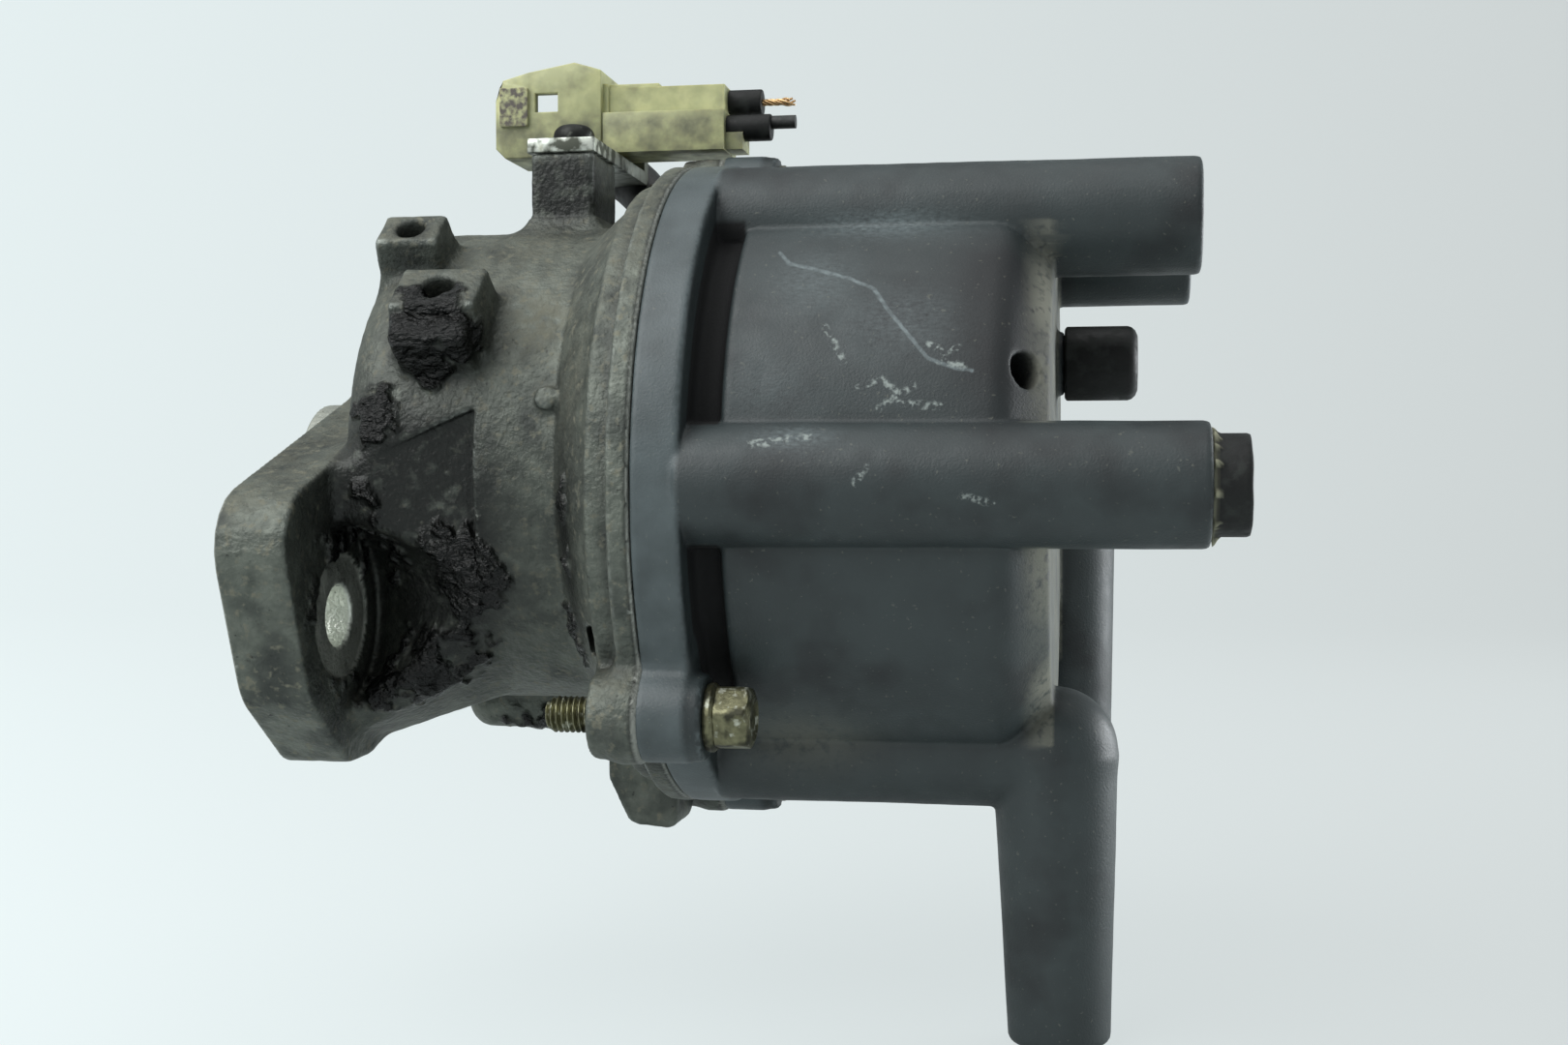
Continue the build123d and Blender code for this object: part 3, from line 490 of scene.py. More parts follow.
def write_mesh(name: str, points: Array, faces: Array) -> bpy.types.Object:
    """Makes an object at the origin from points in millimetres and faces that all have as many corners.

    Args:
        name: the object's name.
        points: (n, 3) places.
        faces: (m, k) point numbers; a four-sided face whose last two are the same is a triangle.

    Returns:
        The new object, linked to the scene.
    """
    mesh = bpy.data.meshes.new(name)
    whole = faces[:, -1] != faces[:, -2]
    sizes = np.where(whole, faces.shape[1], faces.shape[1] - 1)
    corners = faces[np.arange(faces.shape[1])[None, :] < sizes[:, None]]
    mesh.vertices.add(len(points))
    mesh.vertices.foreach_set("co", (points * MM).astype(np.float32).ravel())
    mesh.loops.add(len(corners))
    mesh.loops.foreach_set("vertex_index", corners.astype(np.int32))
    mesh.polygons.add(len(faces))
    mesh.polygons.foreach_set("loop_start", (np.cumsum(sizes) - sizes).astype(np.int32))
    mesh.update(calc_edges=True)
    mesh.validate()
    mesh.shade_smooth()
    return stand(name, mesh)


def bake_modifiers(obj: bpy.types.Object) -> None:
    """Applies an object's modifiers to its mesh."""
    bpy.context.view_layer.update()
    shaped = obj.evaluated_get(bpy.context.evaluated_depsgraph_get())
    mesh = bpy.data.meshes.new_from_object(shaped)
    mesh.name = obj.name
    obj.modifiers.clear()
    obj.data = mesh


def count_triangles(obj: bpy.types.Object) -> int:
    """How many triangles a mesh's faces make."""
    return sum(len(p.vertices) - 2 for p in obj.data.polygons)


def thin_out(obj: bpy.types.Object) -> None:
    """Brings a mesh under the most triangles for a piece and weights its normals by face area."""
    triangles = count_triangles(obj)
    if triangles > MOST_TRIANGLES:
        fewer = obj.modifiers.new("fewer", "DECIMATE")
        fewer.ratio = MOST_TRIANGLES / triangles
    weighted = obj.modifiers.new("weighted", "WEIGHTED_NORMAL")
    weighted.mode = "FACE_AREA"
    bake_modifiers(obj)


def round_edges(obj: bpy.types.Object, width: float, segments: int, angle: float) -> None:
    """Rounds a mesh's sharp edges and smooths the shading between them.

    Args:
        obj: the mesh.
        width: width of the rounded edges in millimetres.
        segments: faces across a rounded edge.
        angle: edges sharper than this, in degrees, are rounded.
    """
    bevel = obj.modifiers.new("edges", "BEVEL")
    bevel.width = width * MM
    bevel.segments = segments
    bevel.limit_method = "ANGLE"
    bevel.angle_limit = math.radians(angle)
    bake_modifiers(obj)
    obj.data.shade_smooth()


def softened_copy(node: str, width: float, segments: int = 2, flats: bool = True) -> bpy.types.Object:
    """A copy of a node with its doubles merged, its flat faces joined and its sharp edges rounded.

    Args:
        node: the frame's node to copy.
        width: width of the rounded edges in millimetres.
        segments: faces across a rounded edge.
        flats: whether the triangles of a flat face are joined first, which a face with a hole doesn't bear.

    Returns:
        The new piece, named after the node.
    """
    work = bmesh.new()
    work.from_mesh(frame["nodes"][node].data)
    bmesh.ops.remove_doubles(work, verts=work.verts, dist=0.002 * MM)
    if flats:
        bmesh.ops.dissolve_limit(work, angle_limit=math.radians(1.0), verts=work.verts, edges=work.edges)
    name = node + "_piece"
    mesh = bpy.data.meshes.new(name)
    work.to_mesh(mesh)
    work.free()
    obj = stand(name, mesh)
    round_edges(obj, width, segments, 30.0)
    obj.data.set_sharp_from_angle(angle=SHARP)
    return obj


def skin(name: str, rings: Array) -> bpy.types.Object:
    """A closed surface from rings of points, each ring joined to the next and both ends closed at a pole.

    Args:
        name: the object's name.
        rings: (rows, columns, 3) points that turn right-handed about the way from the first ring to the last.

    Returns:
        The new object.
    """
    rows, columns, _ = rings.shape
    r, c = np.arange(rows - 1)[:, None], np.arange(columns)[None, :]
    here, beside = r * columns + c, r * columns + (c + 1) % columns
    sides = np.stack([here, beside, beside + columns, here + columns], -1).reshape(-1, 4)
    first, last = np.arange(columns), (rows - 1) * columns + np.arange(columns)
    pole = np.full(columns, rows * columns)
    start = np.stack([np.roll(first, -1), first, pole, pole], 1)
    end = np.stack([last, np.roll(last, -1), pole + 1, pole + 1], 1)
    points = np.concatenate([rings.reshape(-1, 3), rings[0].mean(0)[None], rings[-1].mean(0)[None]])
    return write_mesh(name, points, np.concatenate([sides, start, end]))


def loop_skin(name: str, rings: Array) -> bpy.types.Object:
    """A ring-shaped surface: each ring joined to the next and the last back to the first."""
    rows, columns, _ = rings.shape
    r, c = np.arange(rows)[:, None], np.arange(columns)[None, :]
    here, beside = r * columns + c, r * columns + (c + 1) % columns
    ahead, across = (r + 1) % rows * columns + c, (r + 1) % rows * columns + (c + 1) % columns
    faces = np.stack([here, beside, across, ahead], -1).reshape(-1, 4)
    return write_mesh(name, rings.reshape(-1, 3), faces)


def join(pieces: list[bpy.types.Object], name: str) -> bpy.types.Object:
    """Joins meshes into one new piece and removes them."""
    work = bmesh.new()
    for piece in pieces:
        work.from_mesh(piece.data)
    mesh = bpy.data.meshes.new(name)
    work.to_mesh(mesh)
    work.free()
    for piece in pieces:
        bpy.data.objects.remove(piece)
    mesh.shade_smooth()
    return stand(name, mesh)


def lathe(name: str, profile: list[Pair], centre: Pair = (0.0, 0.0), around: int = 64) -> bpy.types.Object:
    """A turned piece along X: each (X, radius) of the profile is a ring about the centre.

    Args:
        name: the object's name.
        profile: (X, radius) pairs from one end to the other.
        centre: (Y, Z) of the axis.
        around: points on a ring.

    Returns:
        The new object.
    """
    pairs = np.array(profile, float)
    turn = np.linspace(0.0, 2 * math.pi, around, endpoint=False)
    x = np.broadcast_to(pairs[:, 0:1], (len(pairs), around))
    radius = pairs[:, 1:2]
    return skin(name, np.stack([x, centre[0] + radius * np.cos(turn), centre[1] + radius * np.sin(turn)], -1))


def tube_rings(line: Array, radii: Array, around: int, ripple: Array | float = 0.0) -> Array:
    """Rings of points along a line: a circle across the line at each of its points.

    The first cross direction is carried on from point to point, each time less its part along the
    new tangent, so that the rings don't twist.

    Args:
        line: (n, 3) centre points.
        radii: (n,) radii.
        around: points on a ring.
        ripple: what is added to the radius at each ring point, (n, around).

    Returns:
        (n, around, 3) points.
    """
    tangent = np.gradient(line, axis=0)
    tangent /= np.linalg.norm(tangent, axis=1, keepdims=True)
    first = np.cross(tangent[0], (0.0, 0.0, 1.0) if abs(tangent[0][2]) < 0.9 else (0.0, 1.0, 0.0))
    side = np.empty_like(line)
    for k, way in enumerate(tangent):
        first = first - way * (first @ way)
        first /= np.linalg.norm(first)
        side[k] = first
    up = np.cross(tangent, side)
    turn = np.linspace(0.0, 2 * math.pi, around, endpoint=False)
    reach = np.asarray(radii, float)[:, None] + ripple * np.ones((len(line), around))
    across = side[:, None] * np.cos(turn)[None, :, None] + up[:, None] * np.sin(turn)[None, :, None]
    return line[:, None] + reach[:, :, None] * across


def mesh_arrays(obj: bpy.types.Object) -> tuple[Array, Array]:
    """A mesh's points in millimetres and its point normals."""
    count = len(obj.data.vertices)
    points, normals = np.empty(count * 3, np.float32), np.empty(count * 3, np.float32)
    obj.data.vertices.foreach_get("co", points)
    obj.data.vertices.foreach_get("normal", normals)
    return points.reshape(-1, 3).astype(float) / MM, normals.reshape(-1, 3).astype(float)


def proud_share(obj: bpy.types.Object, rounds: int = 2) -> Array:
    """How far each point stands proud of its neighbours, as a share of the edges that meet there.

    A point's neighbours are those at the far ends of its edges. The way from their middle to the point,
    along the point's normal and over the mean edge, is above 0 on a ridge and below 0 in a groove.

    Args:
        obj: the mesh.
        rounds: times that each value is averaged with its neighbours'.

    Returns:
        One value per point.
    """
    points, normals = mesh_arrays(obj)
    ends = np.empty(len(obj.data.edges) * 2, np.int32)
    obj.data.edges.foreach_get("vertices", ends)
    a, b = ends.reshape(-1, 2).T
    here, there = np.concatenate([a, b]), np.concatenate([b, a])
    count = np.maximum(np.bincount(here, minlength=len(points)), 1)

    def around(values: Array) -> Array:
        """The mean of the neighbours' values at each point."""
        return np.bincount(here, weights=values[there], minlength=len(points)) / count

    middle = np.stack([around(points[:, k]) for k in range(3)], 1)
    reach = np.linalg.norm(points[here] - points[there], axis=1)
    mean_edge = np.bincount(here, weights=reach, minlength=len(points)) / count + 1e-9
    proud = ((points - middle) * normals).sum(1) / mean_edge
    for _ in range(rounds):
        proud = 0.5 * (proud + around(proud))
    return proud


def move_points(obj: bpy.types.Object, points: Array) -> None:
    """Writes new places, in millimetres, into a mesh."""
    obj.data.vertices.foreach_set("co", (points * MM).astype(np.float32).ravel())
    obj.data.update()


def paint(obj: bpy.types.Object, name: str, values: Array) -> None:
    """Keeps one value per point as a named attribute, which a material reads."""
    layer = obj.data.attributes.new(name, "FLOAT", "POINT")
    layer.data.foreach_set("value", np.clip(values, 0.0, 1.0).astype(np.float32))


def linear(code: str) -> tuple[float, float, float, float]:
    """An sRGB hex colour as linear red, green, blue and alpha."""
    parts = [int(code[k:k + 2], 16) / 255.0 for k in (1, 3, 5)]
    return tuple(v / 12.92 if v <= 0.04045 else ((v + 0.055) / 1.055) ** 2.4 for v in parts) + (1.0,)


def node(tree: bpy.types.NodeTree, kind: str, inputs: dict | None = None, **settings) -> bpy.types.Node:
    """Adds a node, sets its own settings and fills its sockets.

    Args:
        tree: the material's or world's nodes.
        kind: the node's type name without the leading ShaderNode.
        inputs: by socket name or number, either a socket to link from or a value.
        settings: the node's properties.

    Returns:
        The new node.
    """
    made = tree.nodes.new("ShaderNode" + kind)
    for key, value in settings.items():
        setattr(made, key, value)
    for key, value in (inputs or {}).items():
        if isinstance(value, bpy.types.NodeSocket):
            tree.links.new(value, made.inputs[key])
        else:
            made.inputs[key].default_value = value
    return made


@dataclass
class Look:
    """The sockets that describe a surface while its coats are laid on."""

    colour: bpy.types.NodeSocket
    rough: bpy.types.NodeSocket


def patches(tree: bpy.types.NodeTree, size: float, low: float, high: float, detail: float = 3.0,
            squash: Point = (1.0, 1.0, 1.0)) -> bpy.types.NodeSocket:
    """A share from 0 to 1 that comes and goes in patches.

    Args:
        tree: the material's nodes.
        size: rough size of a patch in millimetres.
        low: noise value under which the share is 0.
        high: noise value over which it is 1.
        detail: octaves of finer patches in the coarse ones.
        squash: how much finer the pattern runs along X, Y and Z.

    Returns:
        The share.
    """
    place = node(tree, "TexCoord").outputs["Object"]
    scaled = node(tree, "Mapping", {"Vector": place, "Scale": squash})
    noise = node(tree, "TexNoise", {"Vector": scaled.outputs[0], "Scale": 1.0 / (size * MM), "Detail": detail})
    return node(tree, "MapRange", {"Value": noise.outputs[0], "From Min": low, "From Max": high}).outputs[0]


def mask(tree: bpy.types.NodeTree, name: str, *others: bpy.types.NodeSocket) -> bpy.types.NodeSocket:
    """A painted attribute, thinned out by any number of other shares."""
    share = node(tree, "Attribute", attribute_name=name).outputs["Fac"]
    for other in others:
        share = node(tree, "Math", {0: share, 1: other}, operation="MULTIPLY").outputs[0]
    return share


def lay(tree: bpy.types.NodeTree, look: Look, share: bpy.types.NodeSocket, colour: str,
        rough: float) -> Look:
    """Lays a coat over a look: colour and roughness turn to the coat's by its share."""
    tint = node(tree, "Mix", {0: share, 6: look.colour, 7: linear(colour)}, data_type="RGBA").outputs[2]
    dull = node(tree, "Mix", {0: share, 2: look.rough, 3: rough}).outputs[0]
    return Look(tint, dull)


def strokes(tree: bpy.types.NodeTree, lines: tuple[tuple[Pair, ...], ...], width: float,
            wobble: float) -> bpy.types.NodeSocket:
    """A share that is 1 on thin marks, drawn across X and Z on the side that faces -Y.

    The distance to each straight bit is that from the nearest place on it, whose share along the bit is
    the dot product with it over its length squared, kept between 0 and 1.

    Args:
        tree: the material's nodes.
        lines: each mark's (X, Z) points in millimetres.
        width: half the mark's width in millimetres.
        wobble: how far noise shakes the marks, in millimetres.

    Returns:
        The share.
    """
    place = node(tree, "TexCoord").outputs["Object"]
    noise = node(tree, "TexNoise", {"Vector": place, "Scale": 1.0 / (1.5 * MM), "Detail": 3.0})
    shaken = node(tree, "VectorMath", {0: noise.outputs["Color"], 1: (wobble * MM,) * 3, 2: place},
                  operation="MULTIPLY_ADD")
    flat = node(tree, "VectorMath", {0: shaken.outputs[0], 1: (1.0, 0.0, 1.0)}, operation="MULTIPLY")
    nearest = None
    for start, end in [pair for line in lines for pair in zip(line, line[1:])]:
        way = Vector((end[0] - start[0], 0.0, end[1] - start[1])) * MM
        off = node(tree, "VectorMath", {0: flat.outputs[0], 1: (start[0] * MM, 0.0, start[1] * MM)},
                   operation="SUBTRACT")
        along = node(tree, "VectorMath", {0: off.outputs[0], 1: way / way.length_squared},
                     operation="DOT_PRODUCT")
        held = node(tree, "Clamp", {"Value": along.outputs["Value"]})
        foot = node(tree, "VectorMath", {0: tuple(way), "Scale": held.outputs[0]}, operation="SCALE")
        gap = node(tree, "VectorMath", {0: off.outputs[0], 1: foot.outputs[0]}, operation="DISTANCE")
        if nearest is None:
            nearest = gap.outputs["Value"]
        else:
            least = node(tree, "Math", {0: nearest, 1: gap.outputs["Value"]}, operation="MINIMUM")
            nearest = least.outputs[0]
    mark = node(tree, "MapRange", {"Value": nearest, "From Min": width * MM, "From Max": 0.4 * width * MM})
    depth = node(tree, "SeparateXYZ", {0: place}).outputs[1]
    front = node(tree, "Math", {0: depth, 1: 0.0}, operation="LESS_THAN")
    return node(tree, "Math", {0: mark.outputs[0], 1: front.outputs[0]}, operation="MULTIPLY").outputs[0]


@dataclass(frozen=True)
class Finish:
    """A finish: two tones that mottle the surface, a gloss that varies and a fine grain.

    A finish of one kind is this class with its own numbers; one with dirt, wear or a pattern of its
    own is a subclass that lays its coats in `coats`. The sizes of the mottle and the grain and the
    height of the relief are millimetres on the real part.
    """

    label: str
    colour: str
    tone: str
    rough: float
    metallic: float = 0.0
    mottle: float = 4.0
    grain: float = 0.5
    relief: float = 0.02
    specular: float = 0.5

    def coats(self, tree: bpy.types.NodeTree, look: Look) -> Look:
        """Coats that lie over the two tones; a plain finish has none."""
        return look

    def height(self, tree: bpy.types.NodeTree) -> bpy.types.NodeSocket:
        """The skin's fine grain, as heights in units of the relief."""
        return patches(tree, self.grain, 0.2, 0.8, 4.0)

    def material(self) -> bpy.types.Material:
        """Makes the material: tones, coats, grain as bump, and the shader."""
        made = bpy.data.materials.new(self.label)
        made.use_nodes = True
        tree = made.node_tree
        shader = tree.nodes["Principled BSDF"]
        spread = patches(tree, self.mottle, 0.35, 0.65)
        tones = node(tree, "Mix", {0: spread, 6: linear(self.tone), 7: linear(self.colour)}, data_type="RGBA")
        sheen = node(tree, "MapRange", {"Value": patches(tree, self.mottle / 3, 0.3, 0.7),
                                        "To Min": self.rough - 0.06, "To Max": self.rough + 0.06})
        look = self.coats(tree, Look(tones.outputs[2], sheen.outputs[0]))
        tree.links.new(look.colour, shader.inputs["Base Color"])
        tree.links.new(look.rough, shader.inputs["Roughness"])
        shader.inputs["Metallic"].default_value = self.metallic
        shader.inputs["Specular IOR Level"].default_value = self.specular
        bump = node(tree, "Bump", {"Height": self.height(tree), "Distance": self.relief * MM, "Strength": 1.0})
        tree.links.new(bump.outputs[0], shader.inputs["Normal"])
        return made


@dataclass(frozen=True)
class CastAluminium(Finish):
    """Die-cast aluminium, years old: grey-green oxide, bright rubbed edges, black grease and road dust."""

    oxide: str = "#363a37"
    rubbed: str = "#8b918c"
    grease: str = "#0d0e0d"
    film: str = "#1d1f1d"
    dust: str = "#6f6f62"
    bright: str = "#dfe3d9"
    wrinkles: float = 5.0

    def height(self, tree: bpy.types.NodeTree) -> bpy.types.NodeSocket:
        """The sand-rough skin, with the much higher wrinkles of the grease where it lies."""
        folds = mask(tree, "grease", patches(tree, 1.5, 0.25, 0.75, 4.0, (1.0, 1.0, 1.6)))
        both = node(tree, "Math", {0: folds, 1: self.wrinkles, 2: super().height(tree)}, operation="MULTIPLY_ADD")
        return both.outputs[0]

    def coats(self, tree: bpy.types.NodeTree, look: Look) -> Look:
        """Oxide in blotches, pits, oil and painted shade in the corners, dust, rubbed edges, bared metal and then the
        grease.
        """
        look = lay(tree, look, patches(tree, 9.0, 0.5, 0.72), self.oxide, 0.62)
        look = lay(tree, look, patches(tree, 0.9, 0.66, 0.8, 2.0), self.film, 0.5)
        look = lay(tree, look, patches(tree, 1.3, 0.56, 0.7, 4.0), self.dust, 0.7)
        look = lay(tree, look, mask(tree, "dust", patches(tree, 1.6, 0.3, 0.6)), self.dust, 0.85)
        look = lay(tree, look, mask(tree, "film", patches(tree, 2.0, 0.1, 0.46, 5.0)), self.film, 0.4)
        # The film colour laid here is painted shade in the corners and grooves, with the dark line of the seam.
        look = lay(tree, look, mask(tree, "crevice_dirt_and_shade"), self.film, 0.42)
        look = lay(tree, look, mask(tree, "edge", patches(tree, 1.2, 0.36, 0.55)), self.rubbed, 0.38)
        look = lay(tree, look, mask(tree, "bare", patches(tree, 1.0, 0.74, 0.64, 2.0)), self.bright, 0.36)
        return lay(tree, look, mask(tree, "grease"), self.grease, 0.22)


@dataclass(frozen=True)
class MouldedCap(Finish):
    """Glass-filled polyester, moulded: a cool charcoal with a soft sheen, dusted, scuffed and scratched."""

    # Dark grey-black, laid in patches as grime and in the crevices as painted shade.
    grime: str = "#15181a"
    # Near black, laid in the drum's slot as painted shade.
    slot_shade: str = "#060708"
    bloom: str = "#4b5456"
    dust: str = "#858578"
    scuff: str = "#6f7a7c"
    chip: str = "#868e8b"
    slot_end: float = 69.9
    slot_r: float = 44.6
    scratch: tuple[Pair, ...] = (
        (75.8, 32.6), (77.4, 30.9), (81.9, 29.7), (86.1, 28.4), (89.5, 26.9), (91.8, 23.8), (94.7, 20.2),
        (97.4, 17.0), (100.5, 15.8), (103.3, 15.2))
    flakes: tuple[tuple[Pair, ...], ...] = (
        ((83.8, 22.0), (85.4, 19.6), (86.7, 17.1)), ((98.1, 19.4), (100.2, 18.0), (101.9, 18.7)),
        ((99.4, 17.0), (102.5, 16.4)), ((89.1, 13.6), (91.8, 14.7), (94.0, 12.9)),
        ((91.5, 10.8), (96.0, 13.6)), ((94.5, 11.3), (99.6, 11.1)), ((75.2, 6.0), (83.2, 7.0)),
        ((89.3, 1.1), (91.0, 2.9)), ((103.2, -0.8), (107.0, -1.5)))

    def slot(self, tree: bpy.types.NodeTree) -> bpy.types.NodeSocket:
        """Painted shade in the slot where the drum meets the rim: a band of X, as far out as the drum reaches."""
        place = node(tree, "TexCoord").outputs["Object"]
        along = node(tree, "SeparateXYZ", {0: place}).outputs[0]
        across = node(tree, "VectorMath", {0: place, 1: (0.0, 1.0, 1.0)}, operation="MULTIPLY")
        reach = node(tree, "VectorMath", {0: across.outputs[0]}, operation="LENGTH")
        band = node(tree, "MapRange", {"Value": along, "From Min": self.slot_end * MM,
                                       "From Max": (self.slot_end - 0.5) * MM})
        low = node(tree, "MapRange", {"Value": reach.outputs["Value"], "From Min": (self.slot_r + 0.8) * MM,
                                      "From Max": self.slot_r * MM})
        return node(tree, "Math", {0: band.outputs[0], 1: low.outputs[0]}, operation="MULTIPLY").outputs[0]

    def coats(self, tree: bpy.types.NodeTree, look: Look) -> Look:
        """Grime in patches and, with painted shade, in the grooves and by the shoulder, dust, haze, one long scratch,
        flakes, scuffed edges, and the slot's painted shade last.
        """
        look = lay(tree, look, patches(tree, 14.0, 0.52, 0.75), self.grime, 0.55)
        # The grime colour laid in corners, grooves and by the shoulder is painted shade.
        look = lay(tree, look, mask(tree, "crevice_dirt_and_shade"), self.grime, 0.6)
        look = lay(tree, look, mask(tree, "handled", patches(tree, 7.0, 0.1, 0.6)), self.bloom, 0.42)
        specks = patches(tree, 0.7, 0.68, 0.74, 2.0)
        look = lay(tree, look, node(tree, "Math", {0: specks, 1: 0.2}, operation="MULTIPLY").outputs[0],
                   self.dust, 0.8)
        look = lay(tree, look, mask(tree, "dust", patches(tree, 1.1, 0.22, 0.5)), self.dust, 0.92)
        look = lay(tree, look, mask(tree, "haze", patches(tree, 0.5, 0.2, 0.85, 4.0, (0.6, 1.0, 1.2))),
                   self.scuff, 0.5)
        line = node(tree, "Math", {0: strokes(tree, (self.scratch,), 0.34, 0.5),
                                   1: patches(tree, 1.0, 0.2, 0.75)}, operation="MULTIPLY")
        look = lay(tree, look, line.outputs[0], self.scuff, 0.5)
        chips = node(tree, "Math", {0: strokes(tree, self.flakes, 0.6, 1.4),
                                    1: patches(tree, 0.8, 0.46, 0.62)}, operation="MULTIPLY")
        look = lay(tree, look, chips.outputs[0], self.chip, 0.7)
        look = lay(tree, look, mask(tree, "edge", patches(tree, 0.9, 0.42, 0.6)), self.scuff, 0.45)
        # The slot's near-black colour is painted shade.
        return lay(tree, look, self.slot(tree), self.slot_shade, 0.8)


@dataclass(frozen=True)
class Plated(Finish):
    """A zinc-plated steel part: its passivation has gone cloudy, with dirt in patches."""

    # Oily dirt in patches, also laid as painted shadow where a mask is painted.
    dirt_and_shadow: str = "#3b3b30"
    white_rust: str = "#b9bcae"
    soil: float = 0.5

    def coats(self, tree: bpy.types.NodeTree, look: Look) -> Look:
        """White zinc rust in small clouds under oily dirt, in patches and, as grime with painted shadow, where its mask
        is painted.
        """
        look = lay(tree, look, patches(tree, 1.4, 0.56, 0.7), self.white_rust, 0.6)
        # Grime with painted shadow, where the bracket is painted darker towards +Y.
        look = lay(tree, look, mask(tree, "grime_and_shadow"), self.dirt_and_shadow, 0.6)
        return lay(tree, look, patches(tree, 2.6, self.soil, self.soil + 0.14), self.dirt_and_shadow, 0.55)


@dataclass(frozen=True)
class Nylon(Finish):
    """Natural nylon, moulded: milky, lit through its walls, yellowed, with grey grime rubbed in."""

    grime: str = "#5d5e4c"
    pad: str = "#56504a"
    handled_z: Pair = (62.4, 60.0)

    def coats(self, tree: bpy.types.NodeTree, look: Look) -> Look:
        """Grime in smears, most of it low down and on the raised pad."""
        smears = node(tree, "Math", {0: patches(tree, 4.5, 0.45, 0.75, 5.0), 1: 0.7}, operation="MULTIPLY")
        look = lay(tree, look, smears.outputs[0], self.grime, 0.6)
        height = node(tree, "SeparateXYZ", {0: node(tree, "TexCoord").outputs["Object"]}).outputs[2]
        top, bottom = self.handled_z
        low = node(tree, "MapRange", {"Value": height, "From Min": top * MM, "From Max": bottom * MM})
        smear = node(tree, "Math", {0: low.outputs[0], 1: patches(tree, 2.5, 0.25, 0.8, 5.0)},
                     operation="MULTIPLY")
        look = lay(tree, look, smear.outputs[0], self.grime, 0.6)
        return lay(tree, look, mask(tree, "pad", patches(tree, 1.0, 0.35, 0.6)), self.pad, 0.6)

    def material(self) -> bpy.types.Material:
        """The plain material with light scattered a millimetre or so under its skin."""
        made = super().material()
        shader = made.node_tree.nodes["Principled BSDF"]
        shader.inputs["Subsurface Weight"].default_value = 0.35
        shader.inputs["Subsurface Radius"].default_value = (1.0, 0.8, 0.5)
        shader.inputs["Subsurface Scale"].default_value = 1.2 * MM
        return made


@dataclass(frozen=True)
class Rubber(Finish):
    """Moulded black rubber, dusty and a little chalky on its raised places."""

    bloom: str = "#2a2d2b"
    torn: str = "#8c8c78"

    def coats(self, tree: bpy.types.NodeTree, look: Look) -> Look:
        """A grey bloom in patches, with torn places paler where they are painted."""
        look = lay(tree, look, patches(tree, 2.0, 0.52, 0.7), self.bloom, 0.8)
        return lay(tree, look, mask(tree, "torn"), self.torn, 0.9)


@dataclass(frozen=True)
class CoilTape(Finish):
    """A coil under its brown tape, wound side by side, with a dark seam between the turns."""

    seam: str = "#2c120a"
    pitch: float = 1.885

    def coats(self, tree: bpy.types.NodeTree, look: Look) -> Look:
        """Dark seams one pitch apart: the wave texture runs through 20 radians in each unit of its scale."""
        place = node(tree, "TexCoord").outputs["Object"]
        lines = node(tree, "TexWave", {"Vector": place, "Scale": 2 * math.pi / (20 * self.pitch * MM)},
                     bands_direction="Z", wave_profile="SIN")
        seams = node(tree, "MapRange", {"Value": lines.outputs[0], "From Min": 0.2, "From Max": 0.0})
        return lay(tree, look, seams.outputs[0], self.seam, 0.5)


